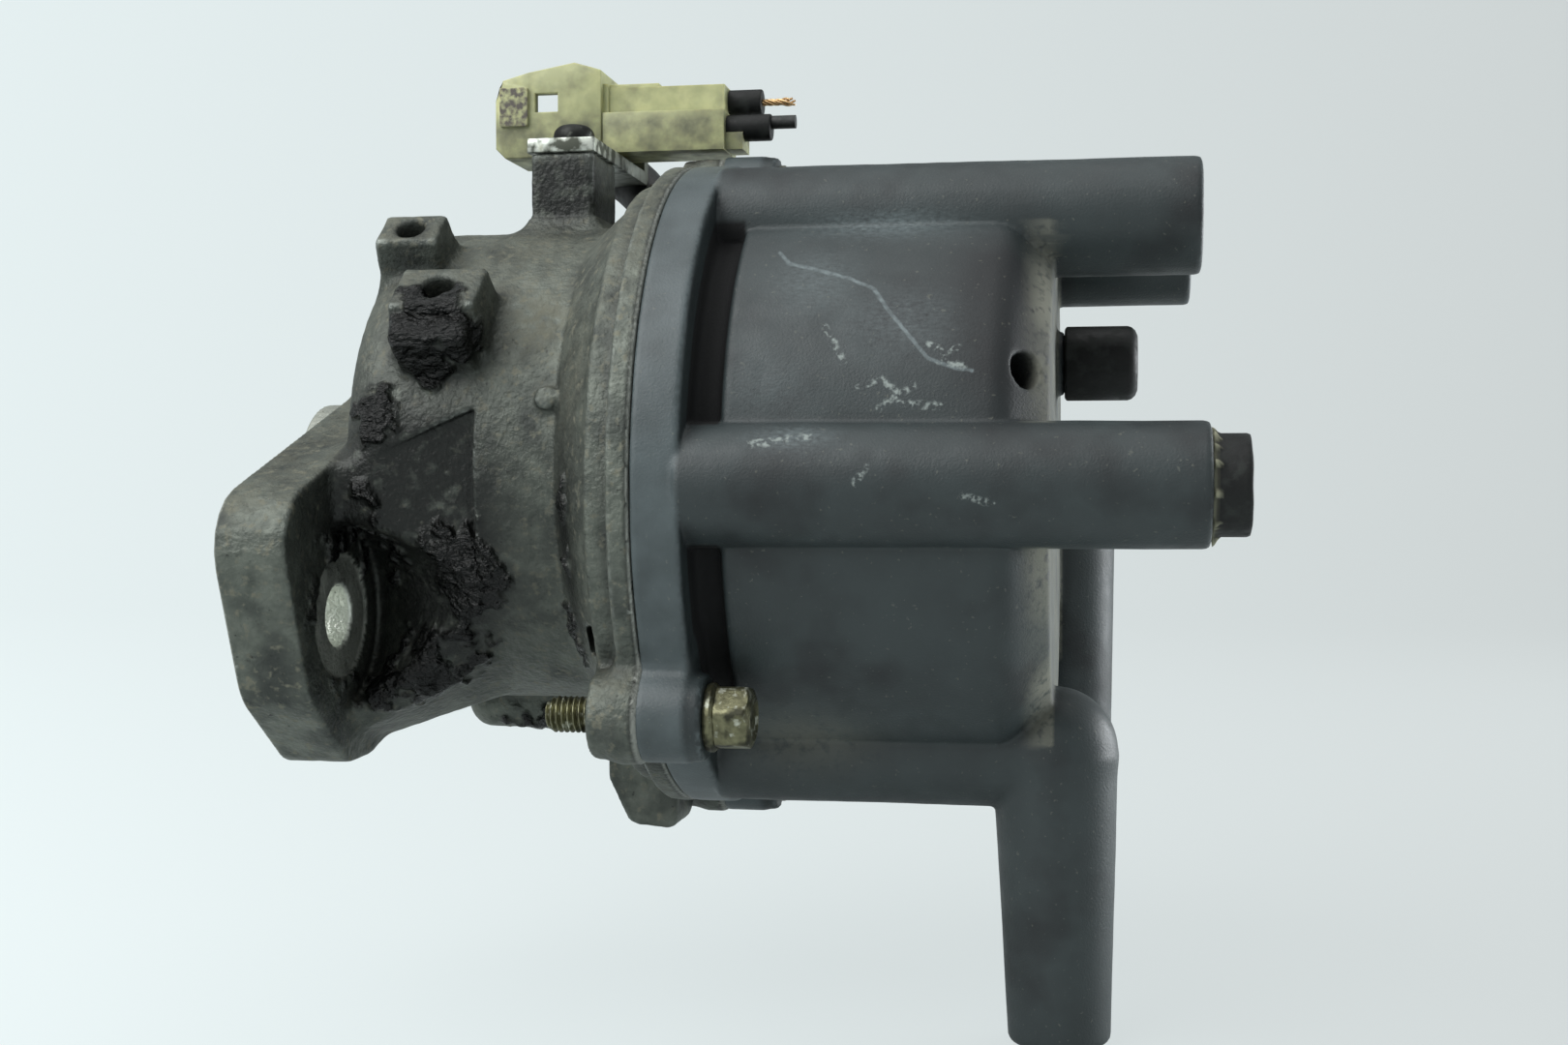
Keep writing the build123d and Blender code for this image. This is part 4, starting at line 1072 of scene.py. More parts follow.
FINISHES: dict[str, Finish] = {
    # Die-cast aluminium: mid grey, half metal, sand-rough at 0.8 mm, so that it glints only where it is rubbed.
    "cast_aluminium": CastAluminium("cast_aluminium", "#62675f", "#494e48", 0.5, 0.5, 3.0, 0.8, 0.16),
    # Glass-filled polyester: cool charcoal with a soft, broad sheen and a grain too fine to make out.
    "cap_moulding": MouldedCap("cap_moulding", "#303839", "#2a3132", 0.46, 0.0, 9.0, 0.35, 0.03, 0.4),
    # Nitrile rubber: near black and dull.
    "black_rubber": Rubber("black_rubber", "#101111", "#151716", 0.5, 0.0, 3.0, 0.5, 0.03, 0.25),
    # PVC sleeve: near black, a little shinier than the rubber.
    "lead_sleeve": Rubber("lead_sleeve", "#1b1d1d", "#151716", 0.5, 0.0, 2.0, 0.6, 0.03),
    # Yellow-passivated zinc gone olive: a metal glint through dull dirt.
    "yellow_zinc": Plated("yellow_zinc", "#77765c", "#5f5e49", 0.36, 0.85, 1.2, 0.3, 0.02),
    # Clear-passivated zinc on pressed steel: pale and bright between clouds of dirt.
    "bright_zinc": Plated("bright_zinc", "#c9cdc4", "#aab0a8", 0.34, 0.85, 2.4, 0.4, 0.015, 0.5, "#4c4f47",
                          soil=0.44),
    # Phosphated steel: dark, with a faint metal sheen.
    "dark_steel": Plated("dark_steel", "#2c2d2b", "#222321", 0.45, 0.8, 1.6, 0.3, 0.02, 0.5, "#1e1f1d",
                         "#63665f"),
    # Ground steel: bright, with a narrow gloss and hardly any grain.
    "steel": Finish("ground_steel", "#b4b6b4", "#a2a5a3", 0.28, 1.0, 3.0, 0.2, 0.004),
    # Rolled brass, slightly tarnished: warm yellow metal.
    "brass": Finish("brass", "#b8975a", "#a5844c", 0.32, 1.0, 2.0, 0.3, 0.006),
    # Sintered bronze: brown metal, matt from its pores.
    "bronze": Finish("sintered_bronze", "#8f6b3c", "#7d5b32", 0.5, 1.0, 1.5, 0.2, 0.01),
    # Pressed carbon: matt black.
    "carbon": Finish("carbon", "#1c1c1d", "#262627", 0.6, 0.0, 1.0, 0.2, 0.01),
    # Varnished tape: warm brown with dark seams.
    "coil_winding": CoilTape("coil_winding", "#8c4a26", "#7b3f20", 0.4),
    # Phenolic resin: very dark brown, half matt.
    "rotor_moulding": Finish("rotor_moulding", "#2b2622", "#332d28", 0.5, 0.0, 3.0, 0.4, 0.01),
    # Unpigmented nylon: pale yellow-green and milky, lit through.
    "natural_nylon": Nylon("natural_nylon", "#b9bb8a", "#a5a87c", 0.4, 0.0, 3.0, 0.5, 0.01),
    # Bare drawn copper, freshly cut: pale pink-gold strands.
    "copper": Finish("copper", "#dcbb8c", "#a8875f", 0.42, 1.0, 0.8, 0.2, 0.01),
}


class Workshop:
    """Keeps one material for each slot and hands finished pieces to the frame."""

    def __init__(self) -> None:
        """Starts with no materials made."""
        self.made: dict[str, bpy.types.Material] = {}

    def material(self, slot: str) -> bpy.types.Material:
        """The slot's material, made when it is first asked for."""
        if slot not in self.made:
            self.made[slot] = FINISHES[slot].material()
        return self.made[slot]

    def fit(self, piece: bpy.types.Object, slot: str, body: Body = Body.ROOT,
            stands_for: tuple[str, ...] = ()) -> None:
        """Gives a piece its material and its body, and hides the nodes that it stands for.

        Args:
            piece: the finished piece.
            slot: the record's material slot.
            body: the group that it moves with.
            stands_for: the frame's nodes that it replaces.
        """
        piece.data.materials.clear()
        piece.data.materials.append(self.material(slot))
        if stands_for:
            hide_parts(*stands_for)
        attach(piece, body.value)
        log.info("%-24s %-16s %7d triangles", piece.name, slot, count_triangles(piece))

    def dress_nodes(self) -> None:
        """Gives every node of the frame that still shows the material of its own slot."""
        slots = {entry["node"]: entry["material_slot"] for entry in frame["record"]["subparts"]}
        for name, obj in frame["nodes"].items():
            for place in obj.material_slots:
                place.material = self.material(slots[name])


@dataclass(frozen=True)
class Spot:
    """A place where grease, dust or wear sits: full at its centre, gone at its reach."""

    centre: Point
    reach: Point
    strength: float = 1.0

    def share(self, points: Array) -> Array:
        """Strength times a bell over the distance from the centre, each axis scaled by its own reach."""
        q = (points - np.array(self.centre)) / np.array(self.reach)
        return self.strength * np.exp(-2.0 * (q * q).sum(1))


def spots(points: Array, places: list[Spot]) -> Array:
    """The greatest share that any of the places has at each point."""
    return np.max([place.share(points) for place in places], axis=0)


@dataclass(frozen=True)
class Ears:
    """The three ears of the rim and what their bolts need, shared by the housing and the cap."""

    angles: tuple[float, ...] = (218.15, 290.0, 70.0)
    circle: float = 51.0
    radius: float = 6.0
    root_circle: float = 39.1
    root_radius: float = 9.0

    def outline(self, angle: float) -> Array:
        """An ear's outline: the arc of its nose and the arc of its root, joined by their common tangents."""
        lean = math.degrees(math.asin((self.root_radius - self.radius) / (self.circle - self.root_circle)))
        found = []
        for circle, radius, first, last in ((self.circle, self.radius, lean - 90, 90 - lean),
                                            (self.root_circle, self.root_radius, 90 - lean, 270 + lean)):
            turn = np.radians(np.linspace(first, last, 16) + angle)
            cy, cz = polar(circle, angle)
            found.append(np.stack([cy + radius * np.cos(turn), cz + radius * np.sin(turn)], 1))
        return np.concatenate(found)


@dataclass
class Housing:
    """The die-cast housing: flange, barrel, rim, ears, bosses and post, in one casting with its bores.

    A boss is its place along the shaft, its place across, its two sizes and the radius of its hole; a
    bore is its start, its end and its radius: for the dog, the bush, the seal, the gap and the bearing.
    """

    ears: Ears
    step: float = 0.5
    flange: float = 10.6
    seam: float = 58.6
    rim_start: float = 55.3
    ring_start: float = 51.5
    flare_start: float = 44.0
    rim_r: float = 49.1
    ring_r: float = 46.4
    barrel_r: float = 37.0
    barrel_shift: float = 3.0
    barrel_round: float = 8.0
    bowl_r: float = 30.0
    bowl_floor: float = 36.0
    mouth_r: float = 42.5
    mouth_depth: float = 6.6
    pocket_end: float = 31.6
    pocket_r: float = 14.1
    pocket_end_r: float = 6.3
    pocket_end_at: Pair = (-37.0, -17.9)
    mount_circle: float = 35.4
    mount_angle: float = 212.8
    mount_hole: float = 4.5
    spot_face: float = 9.0
    boss_tilt: float = 41.0
    boss_plane: float = 43.0
    boss_depth: float = 16.0
    boss_draft: float = 1.4
    bosses: tuple[tuple[float, ...], ...] = ((26.6, -6.4, 12.6, 9.2, 2.5), (18.2, 8.9, 9.4, 7.2, 2.1))
    post: Point = (36.7, 2.0, 51.9)
    post_size: Pair = (10.0, 14.0)
    lead_exit: Point = (45.5, 28.0, 37.0)
    lead_bore: float = 2.4
    spigot_r: float = 12.9
    thin_grease_r: float = 40.0
    bores: tuple[Point, ...] = (
        (-6.0, 4.0, 9.3), (3.0, 17.0, 7.5), (17.0, 23.5, 9.0), (23.0, 30.0, 7.5), (29.0, 37.0, 11.0))
    lug: tuple[Point, ...] = (
        (42.0, -43.0, 0.3), (42.0, -47.0, 2.4), (45.5, -54.4, 2.4), (53.5, -55.2, 2.0), (54.1, -43.0, 0.3))
    ear_corners: tuple[Point, ...] = (
        (0.0, 14.8, 9.0), (-51.7, -3.5, 9.0), (-41.2, -30.5, 10.0), (-27.0, -41.3, 6.0), (-16.0, -41.0, 5.0))
    web_near: tuple[Pair, ...] = ((0.0, 14.8), (-34.4, 1.4), (-33.0, -30.0), (-24.5, -39.0), (-14.0, -40.0))
    web_far: tuple[Pair, ...] = ((-12.0, 33.0), (-31.6, 10.6), (-29.0, -16.0), (-21.0, -25.5), (-8.0, -32.0))
    web_corner: float = 3.0

    def flange_outline(self) -> Array:
        """One ear of the flange and the same ear turned half round, corners rounded."""
        other = [(-y, -z, r) for y, z, r in self.ear_corners]
        return rounded(list(self.ear_corners) + other)

    def web_outline(self, half: tuple[Pair, ...], shift: float) -> Array:
        """The webs' outline from one half and the same half turned about a point shifted both ways."""
        corners = list(half) + [(2 * shift - y, 2 * shift - z) for y, z in half]
        return rounded([(y, z, self.web_corner) for y, z in corners])

    def scoop(self, sign: float) -> Plate:
        """The tapered scoop for a mounting bolt's head, open towards -Y or, turned half round, +Y."""
        y, z = polar(self.mount_circle, self.mount_angle)
        ey, ez = self.pocket_end_at
        grow = (self.pocket_r - self.pocket_end_r) / (self.pocket_end - self.flange)
        near = slot((y, z), (y - 40.0, z), self.pocket_r + grow)
        far = slot((ey, ez), (ey - 40.0, ez), self.pocket_end_r)
        return Plate(sign * near, self.flange - 1.0, self.pocket_end, far=sign * far, soft=0.8)

    def side_recess(self, sign: float) -> Plate:
        """What lies outside a web's flat side and short of the barrel, on one side or turned half round."""
        shift = 0.0 if sign > 0 else 2 * self.barrel_shift
        near = sign * np.array([(-60.0, 1.5), (-34.5, 1.5), (-34.0, -5.0), (-60.0, -5.0)])
        far = sign * np.array([(-60.0, 10.8), (-31.7, 10.8), (-29.7, -14.0), (-60.0, -14.0)]) + shift
        return Plate(near, self.flange + 1.0, self.pocket_end + 0.3, far=far, soft=0.3)

    def on_boss(self, x: float, s: float, height: float) -> Point:
        """The point at a place along the shaft, across the bosses and above the shaft axis."""
        t = math.radians(self.boss_tilt)
        return x, s * math.cos(t) - height * math.sin(t), s * math.sin(t) + height * math.cos(t)

    def solid(self) -> Casting:
        """Runs the shapes together, then cuts the pockets, bores and holes."""
        m = self.barrel_shift
        body = Casting((-5.2, -58.0, -57.0), (60.0, 57.5, 53.5), self.step)
        body.add(Rod((self.flange, m, m), (self.ring_start + 1, m, m), self.barrel_r, self.barrel_r,
                     self.barrel_round))
        body.add(Plate(circle(self.barrel_r, (m, m)), self.flare_start, self.ring_start + 0.5,
                       far=circle(self.ring_r - 1.0), soft=0.0), 0.0)
        body.add(Plate(self.web_outline(self.web_near, 0.0), self.flange - 3.0, self.pocket_end,
                       far=self.web_outline(self.web_far, m), soft=0.6), 1.2)
        for sign in (1.0, -1.0):
            body.cut(self.scoop(sign), 2.4)
            body.cut(self.side_recess(sign), 0.5)
        body.add(Rod((self.ring_start, 0, 0), (self.rim_start + 1, 0, 0), self.ring_r, self.ring_r, 0.9), 1.2)
        body.add(Rod((self.rim_start, 0, 0), (self.seam, 0, 0), self.rim_r, self.rim_r, 0.5), 0.6)
        body.add(Plate(self.flange_outline(), 0.0, self.flange, soft=0.7), 2.2)
        body.add(Rod((-4.0, 0, 0), (1.0, 0, 0), self.spigot_r, self.spigot_r, 0.5))
        for angle in self.ears.angles:
            y, z = polar(self.ears.circle, angle)
            body.add(Plate(self.ears.outline(angle), self.rim_start, self.seam, soft=0.5), 2.0)
            body.add(Rod((self.ring_start + 0.2, y, z), (self.seam, y, z), self.ears.radius, self.ears.radius,
                         0.7), 2.5)
        for x, s, length, width, _ in self.bosses:
            middle = self.on_boss(x, s, self.boss_plane - self.boss_depth / 2)
            body.add(Brick(middle, (length, width, self.boss_depth), self.boss_tilt, self.boss_draft, 0.5), 2.0)
        px, py, top = self.post
        body.add(Brick((px, py, (top + self.barrel_r - 2) / 2), (*self.post_size, top - self.barrel_r + 2),
                       soft=0.5), 5.0)
        body.add(Plate(rounded(list(self.lug)), 2.0, 12.6, Across.XZ, soft=0.8), 1.5)
        # The rib under the barrel, the block of grease at the lower boss's foot, the neck that the pick-up's
        # lead leaves by, and a stud on the barrel's step.
        body.add(Brick((self.pocket_end - 2.6, 10.0, -35.6), (25.0, 9.0, 9.2), soft=4.4), 1.5)
        body.add(Brick(self.on_boss(26.4, -11.9, 35.4), (11.0, 4.6, 12.0), self.boss_tilt + 16.0, 0.4, 1.2), 1.4)
        ex, ey, ez = self.lead_exit
        body.add(Rod((ex, ey, 30.0), (ex, ey, ez), 4.9, 4.9, 0.5), 2.0)
        body.add(Rod((42.8, -31.4, 11.6), (42.8, -34.0, 12.4), 1.9, 1.7, 0.4), 0.6)
        self.cut_bores(body)
        return body

    def cut_bores(self, body: Casting) -> None:
        """Cuts the bowl, the shaft's stepped bore and every hole."""
        past = self.seam + 2.4
        for x0, x1, radius in ((self.bowl_floor, past, self.bowl_r), (self.seam - self.mouth_depth, past, self.mouth_r),
                               *self.bores):
            body.cut(Rod((x0, 0, 0), (x1, 0, 0), radius, radius))
        for side in (0.0, 180.0):
            y, z = polar(self.mount_circle, self.mount_angle + side)
            body.cut(Rod((-2.0, y, z), (self.flange + 1, y, z), self.mount_hole, self.mount_hole), 0.8)
            body.cut(Rod((self.flange - 0.4, y, z), (self.flange + 3, y, z), self.spot_face, self.spot_face,
                         0.0))
        for angle in self.ears.angles:
            y, z = polar(self.ears.circle, angle)
            body.cut(Rod((43.7, y, z), (60.0, y, z), 2.6, 2.6), 0.5)
        for x, s, _, _, radius in self.bosses:
            body.cut(Rod(self.on_boss(x, s, self.boss_plane - 10), self.on_boss(x, s, self.boss_plane + 2),
                         radius, radius), 0.7)
        px, py, top = self.post
        body.cut(Rod((px, py, top - 10.0), (px, py, top + 2), 2.1, 2.1))
        ex, ey, _ = self.lead_exit
        body.cut(Rod((ex, ey, 16.0), (ex, ey, 39.0), self.lead_bore, self.lead_bore))
        # A notch in the rim's step, then the threads of the retainer's and the pick-up's screws.
        body.cut(Brick((self.ring_start - 1.4, -40.0, -21.8), (2.2, 16.0, 4.4), soft=0.9), 0.5)
        for y in (-13.5, 13.5):
            body.cut(Rod((32.0, y, 0), (37.0, y, 0), 1.5, 1.5))
        for y in (-8.5, 8.5):
            body.cut(Rod((31.0, y, -24.5), (37.0, y, -24.5), 1.5, 1.5))

    def grease(self, points: Array) -> Array:
        """Share of grease: the pocket, the lower web, the boss's front and a streak by the rim, in lumps."""
        lumps = 0.62 + 0.5 * value_noise(points, 3.6, Seed.LUMPS) + 0.35 * value_noise(points, 1.3, Seed.SMALL_LUMPS)
        front = spots(points, [
            Spot((14.0, -32.0, -17.0), (9.0, 18.0, 25.0), 1.2), Spot((29.0, -30.0, -12.0), (11.0, 14.0, 12.0), 0.95),
            Spot((26.0, -32.0, -29.0), (19.0, 16.0, 12.0), 1.5), Spot((46.8, -33.0, -3.0), (2.8, 8.0, 13.0), 1.2),
            Spot((46.0, -27.0, -21.0), (6.0, 9.0, 9.0), 1.0), Spot((26.0, -34.5, 21.5), (8.5, 7.0, 9.5), 2.0),
            Spot((18.0, -31.0, 9.0), (9.0, 8.0, 9.0), 1.0)])
        rear = spots(points, [Spot((20.0, 30.0, 12.0), (14.0, 15.0, 20.0), 0.9),
                              Spot((30.0, 8.0, -38.0), (14.0, 12.0, 6.0), 0.8)])
        return step_up(np.maximum(front, rear) * lumps, 0.3, 0.46)

    def film(self, points: Array) -> Array:
        """Share of oily film, wider than the grease: both pockets, the webs' sides and below the bosses."""
        return np.minimum(1.0, spots(points, [
            Spot((22.0, -32.0, -10.0), (22.0, 26.0, 34.0), 1.7), Spot((26.0, -33.0, 20.0), (12.0, 10.0, 12.0), 1.3),
            Spot((46.5, -33.0, -6.0), (4.0, 12.0, 24.0), 1.2), Spot((22.0, 32.0, 10.0), (20.0, 26.0, 32.0), 1.4),
            Spot((52.0, -30.0, -34.0), (9.0, 14.0, 12.0), 0.8), Spot((36.7, -5.0, 46.0), (10.0, 12.0, 9.0), 1.5),
            Spot((25.0, -31.0, 4.0), (15.0, 8.0, 12.0), 1.6), Spot((18.2, -22.0, 33.0), (8.0, 5.0, 7.0), 0.7)]))

    def dust(self, points: Array, normals: Array) -> Array:
        """Share of dust: on faces that look up, and caked in the patch above the rim's step."""
        up = step_up(normals[:, 2], 0.2, 0.9) * (0.35 + 0.35 * value_noise(points, 7.0, Seed.SETTLED_DUST))
        patch = spots(points, [Spot((40.4, -27.6, 23.8), (8.0, 8.0, 8.0), 0.8),
                               Spot((48.0, -36.0, 14.0), (5.0, 8.0, 14.0), 0.5),
                               Spot((47.0, 0.0, 40.0), (5.0, 30.0, 12.0), 0.6)])
        return np.maximum(up, patch)

    def build(self, shop: Workshop) -> None:
        """Casts the housing, roughens its skin, and paints where grease, dust and wear sit and where shade falls."""
        body = self.solid()
        points, faces = body.surface()
        obj = write_mesh("housing_casting", points, faces)
        points, normals = mesh_arrays(obj)
        x, y, z = points.T
        from_axis = np.hypot(y, z)
        outer = from_axis > self.spigot_r + 0.6
        machined = (x < 0.4) | (x > self.seam - 0.3)
        for side in (0.0, 180.0):
            hy, hz = polar(self.mount_circle, self.mount_angle + side)
            machined |= (np.hypot(y - hy, z - hz) < self.spot_face + 0.1) & (x < self.flange + 0.2)
        inside = (from_axis < self.mouth_r + 0.4) & (x > self.bowl_floor - 1) & (
            np.abs(normals[:, 0]) < 0.5) & ((y * normals[:, 1] + z * normals[:, 2]) < 0)
        skin_share = np.where(outer & ~machined & ~inside, 1.0, 0.0)
        greasy = self.grease(points) * np.where(inside, 0.0, 1.0)
        reached, _ = body.sample(points + 2.0 * normals)
        proud = proud_share(obj, 3)
        lift = skin_share * (0.05 * value_noise(points, 1.1, Seed.SAND) + 0.07 * value_noise(points, 3.5, Seed.WAVES))
        clot = 0.5 + 0.5 * value_noise(points, 2.2, Seed.CLOTS)
        wrinkle = np.abs(value_noise(points * np.array([1.0, 0.7, 1.5]), 2.6, Seed.WRINKLES))
        clots = (0.15 + 0.7 * clot * clot + 0.55 * wrinkle) * np.where(from_axis > self.thin_grease_r, 0.6, 1.0)
        lift += skin_share * greasy * clots
        move_points(obj, points + normals * lift[:, None])
        hole = np.zeros(len(points), bool)
        ring = np.zeros(len(points))
        for side in (0.0, 180.0):
            hy, hz = polar(self.mount_circle, self.mount_angle + side)
            off = np.hypot(y - hy, z - hz)
            hole |= (off < self.mount_hole + 0.15) & (x > 0.6) & (x < self.flange - 0.5)
            faced = (off < self.spot_face + 0.1) & (x > self.flange - 0.7) & (x < self.flange + 0.3)
            ring += np.where(faced, 1.0, 0.0)
        ring *= 0.7 + 0.3 * value_noise(points, 2.4, Seed.SPOT_FACE)
        greasy *= 1.0 - 0.8 * ring
        flat_front = step_up(-x, -self.flange - 0.3, -self.flange + 0.6) * (1.0 - ring)
        greasy *= 1.0 - flat_front * (~hole)
        seam_line = step_up(x, self.seam - 0.9, self.seam - 0.3)
        # Painted shade where little light reaches, in corners and grooves, and the seam's dark line.
        paint(obj, "crevice_dirt_and_shade", np.maximum.reduce([(1.0 - reached / 2.0) * 0.9, step_up(-proud, 0.08, 0.2),
                                                 seam_line]))
        chipped = 0.5 + 0.5 * value_noise(points, 3.0, Seed.CHIPPED)
        paint(obj, "edge", step_up(proud, 0.08, 0.2) * (1.0 - 0.8 * greasy) * chipped)
        paint(obj, "grease", greasy * np.where(hole, 0.0, 1.0))
        paint(obj, "film", self.film(points) * (1.0 - flat_front) * np.where(hole, 0.0, 1.0 - 0.6 * ring))
        paint(obj, "dust", np.maximum(self.dust(points, normals), 0.8 * ring))
        bared = np.where(machined & ~inside, 0.3, 0.0)
        paint(obj, "bare", np.where(hole, 1.0, np.where(ring > 0.1, 0.4 * ring, bared)))
        thin_out(obj)
        shop.fit(obj, "cast_aluminium", stands_for=("housing",))


@dataclass
class Cap:
    """The moulded cap: a drum with towers round it, two of them elbowed down.

    An elbow is its angle and how far below the axis it ends; a tower's bore and socket are a radius
    and a depth; the brush's boss is its start and radius; the side vent is its angle, the distance of
    its middle from the axis, and its radius.
    """

    ears: Ears
    step: float = 0.5
    seam: float = 58.6
    ledge: float = 65.4
    shoulder: float = 107.1
    end_face: float = 113.1
    tower_end: float = 133.7
    elbow_x: float = 113.4
    rim_r: float = 49.1
    drum_r: float = 44.0
    slot_end: float = 69.7
    slot_depth: float = 2.2
    end_r: float = 38.0
    cavity_r: float = 36.0
    cavity_end: float = 103.6
    mouth_r: float = 43.5
    mouth_end: float = 61.9
    ear_end: float = 67.5
    tower_r: float = 8.4
    circle: float = 41.4
    straight: tuple[float, ...] = (180.0, 113.0, 63.6)
    elbows: tuple[Pair, ...] = ((247.0, 80.2), (0.0, 65.0))
    elbow_r: float = 9.0
    elbow_end_r: float = 7.3
    bore: Pair = (6.7, 10.0)
    elbow_bore: float = 5.6
    socket: Pair = (4.4, 26.0)
    brush_boss: Pair = (95.24, 6.0)
    brush_bore: float = 2.54
    vent: Pair = (4.0, 18.6)
    side_vent: Point = (158.3, 41.1, 2.5)

    def solid(self) -> Casting:
        """Runs the drum, the rim, the ears and the towers together, then cuts the hollows."""
        body = Casting((57.4, -53.0, -82.0), (135.4, 53.0, 54.0), self.step)
        sunk = self.drum_r - self.slot_depth
        drum = rounded([(self.seam + 1, 0.0, 0.2), (self.seam + 1, sunk, 0.2), (self.slot_end, sunk, 1.3),
                        (self.slot_end, self.drum_r, 0.8), (self.shoulder, self.drum_r, 5.0),
                        (self.end_face, self.end_r, 1.2), (self.end_face, 0.0, 0.2)])
        body.add(Turned(drum))
        body.add(Rod((self.seam, 0, 0), (self.ledge, 0, 0), self.rim_r, self.rim_r, 0.7), 1.5)
        for angle in self.ears.angles:
            y, z = polar(self.ears.circle, angle)
            body.add(Plate(self.ears.outline(angle), self.seam, self.ledge, soft=0.7), 1.6)
            body.add(Rod((self.seam, y, z), (self.ear_end, y, z), self.ears.radius, self.ears.radius, 0.6),
                     1.2)
        for angle in self.straight:
            y, z = polar(self.circle, angle)
            body.add(Rod((self.ledge - 1, y, z), (self.tower_end, y, z), self.tower_r + 0.1,
                         self.tower_r - 0.1, 0.8))
        for angle, drop in self.elbows:
            y, z = polar(self.circle, angle)
            body.add(Rod((self.ledge - 1, y, z), (self.elbow_x, y, z), self.tower_r, self.tower_r, 0.5))
            body.add(Ball((self.elbow_x, y, z), self.elbow_r), 0.8)
            body.add(Rod((self.elbow_x, y, z), (self.elbow_x + 0.8, y, -drop), self.elbow_r, self.elbow_end_r,
                         1.0), 0.8)
        body.add(Rod((self.end_face - 1, *self.vent), (self.end_face + 1.2, *self.vent), 4.9, 4.9, 0.4), 0.8)
        self.cut_hollows(body)
        return body

    def cut_hollows(self, body: Casting) -> None:
        """Cuts the mouth, the chamber, the brush's bore, the sockets and the vents."""
        chamber = np.array([(self.seam - 2, 0.0), (self.seam - 2, self.cavity_r),
                            (self.cavity_end - 3, self.cavity_r), (self.cavity_end, self.cavity_r - 3),
                            (self.cavity_end, 0.0)])
        body.cut(Rod((self.seam - 2, 0, 0), (self.mouth_end, 0, 0), self.mouth_r, self.mouth_r))
        body.cut(Turned(chamber))
        boss_start, boss_r = self.brush_boss
        body.add(Rod((boss_start, 0, 0), (self.cavity_end + 1, 0, 0), boss_r, boss_r, 0.4))
        body.cut(Rod((94.0, 0, 0), (self.cavity_end + 1, 0, 0), self.brush_bore, self.brush_bore))
        bore_r, bore_depth = self.bore
        socket_r, socket_depth = self.socket
        for angle in self.ears.angles:
            y, z = polar(self.ears.circle, angle)
            body.cut(Rod((self.seam - 2, y, z), (self.ear_end + 1, y, z), 2.8, 2.8))
            body.cut(Rod((self.ear_end, y, z), (self.shoulder, y, z), 5.5, 5.5, 0.3), 0.5)
        for angle in self.straight:
            y, z = polar(self.circle, angle)
            body.cut(Rod((self.tower_end - bore_depth, y, z), (self.tower_end + 2, y, z), bore_r, bore_r), 0.5)
            body.cut(Rod((self.tower_end - socket_depth, y, z), (self.tower_end, y, z), socket_r, socket_r))
        for angle, drop in self.elbows:
            y, _ = polar(self.circle, angle)
            mouth_x = self.elbow_x + 0.6
            body.cut(Rod((mouth_x, y, -drop - 2), (mouth_x, y, bore_depth - drop), self.elbow_bore,
                         self.elbow_bore), 0.5)
            body.cut(Rod((self.elbow_x, y, -drop), (self.elbow_x, y, socket_depth - drop), socket_r, socket_r))
        body.cut(Rod((self.cavity_end - 1, *self.vent), (self.end_face + 3, *self.vent), 1.9, 1.9))
        angle, radius, hole = self.side_vent
        y, z = polar(radius, angle)
        iy, iz = polar(radius - 8.5, angle)
        oy, oz = polar(radius + 3.0, angle)
        middle = self.shoulder + self.drum_r - radius
        body.cut(Rod((middle - 8.5, iy, iz), (middle + 3.0, oy, oz), hole, hole), 0.5)

    def dust(self, points: Array) -> Array:
        """Share of dust: the cone's far edge, the end face and one patch under the drum."""
        x, y, z = points.T
        on_end = step_up(-np.hypot(y, z), -self.drum_r - 0.6, -self.drum_r)
        cone = step_up(x, self.shoulder + 1.5, self.end_face - 0.8) * on_end
        cone *= np.where(x < self.end_face + 0.4, 0.4 + 0.4 * value_noise(points, 4.0, Seed.CONE_DUST), 0.0)
        patch = spots(points, [Spot((78.0, -24.0, -34.0), (12.0, 8.0, 8.0), 0.35)])
        return np.maximum(cone, patch)

    def haze(self, points: Array) -> Array:
        """Share of rubbed haze: the upper panel's top, the upper tower's foot and the side tower."""
        return spots(points, [
            Spot((90.0, -24.0, 36.5), (14.0, 8.0, 3.0), 1.0), Spot((81.0, -34.0, 28.0), (7.0, 8.0, 8.0), 0.5),
            Spot((80.3, -47.1, 6.2), (7.0, 4.0, 3.0), 0.8), Spot((93.0, -38.0, 22.0), (10.0, 8.0, 7.0), 0.45),
            Spot((75.0, -46.0, 14.0), (9.0, 8.0, 8.0), 0.4)])

    def build(self, shop: Workshop) -> None:
        """Moulds the cap, gives its skin the slight waves of a moulding, and paints dust, wear and shade."""
        body = self.solid()
        points, faces = body.surface()
        obj = write_mesh("cap_moulding_piece", points, faces)
        points, normals = mesh_arrays(obj)
        reached, _ = body.sample(points + 2.0 * normals)
        proud = proud_share(obj, 3)
        lift = 0.02 * value_noise(points, 2.2, Seed.RIPPLE) + 0.05 * value_noise(points, 9.0, Seed.BOW)
        move_points(obj, points + normals * lift[:, None])
        x, y, z = points.T
        from_axis = np.hypot(y, z)
        # Painted shade: darker by the shoulder's rounding, in corners that little light reaches and in grooves.
        shoulder_shade = np.minimum(1.0, spots(points, [Spot((106.5, -36.0, 22.0), (10.0, 16.0, 26.0), 1.5)]))
        paint(obj, "crevice_dirt_and_shade", np.maximum.reduce([0.8 * (1.0 - reached / 2.0), shoulder_shade,
                                                 step_up(-proud, 0.08, 0.2)]))
        paint(obj, "handled", step_up(-x, -self.ledge, -self.ledge + 0.5)
              * step_up(from_axis, self.drum_r, self.drum_r + 2))
        paint(obj, "edge", step_up(proud, 0.09, 0.22))
        paint(obj, "dust", self.dust(points))
        paint(obj, "haze", self.haze(points))
        thin_out(obj)
        shop.fit(obj, "cap_moulding", stands_for=("distributor_cap",))


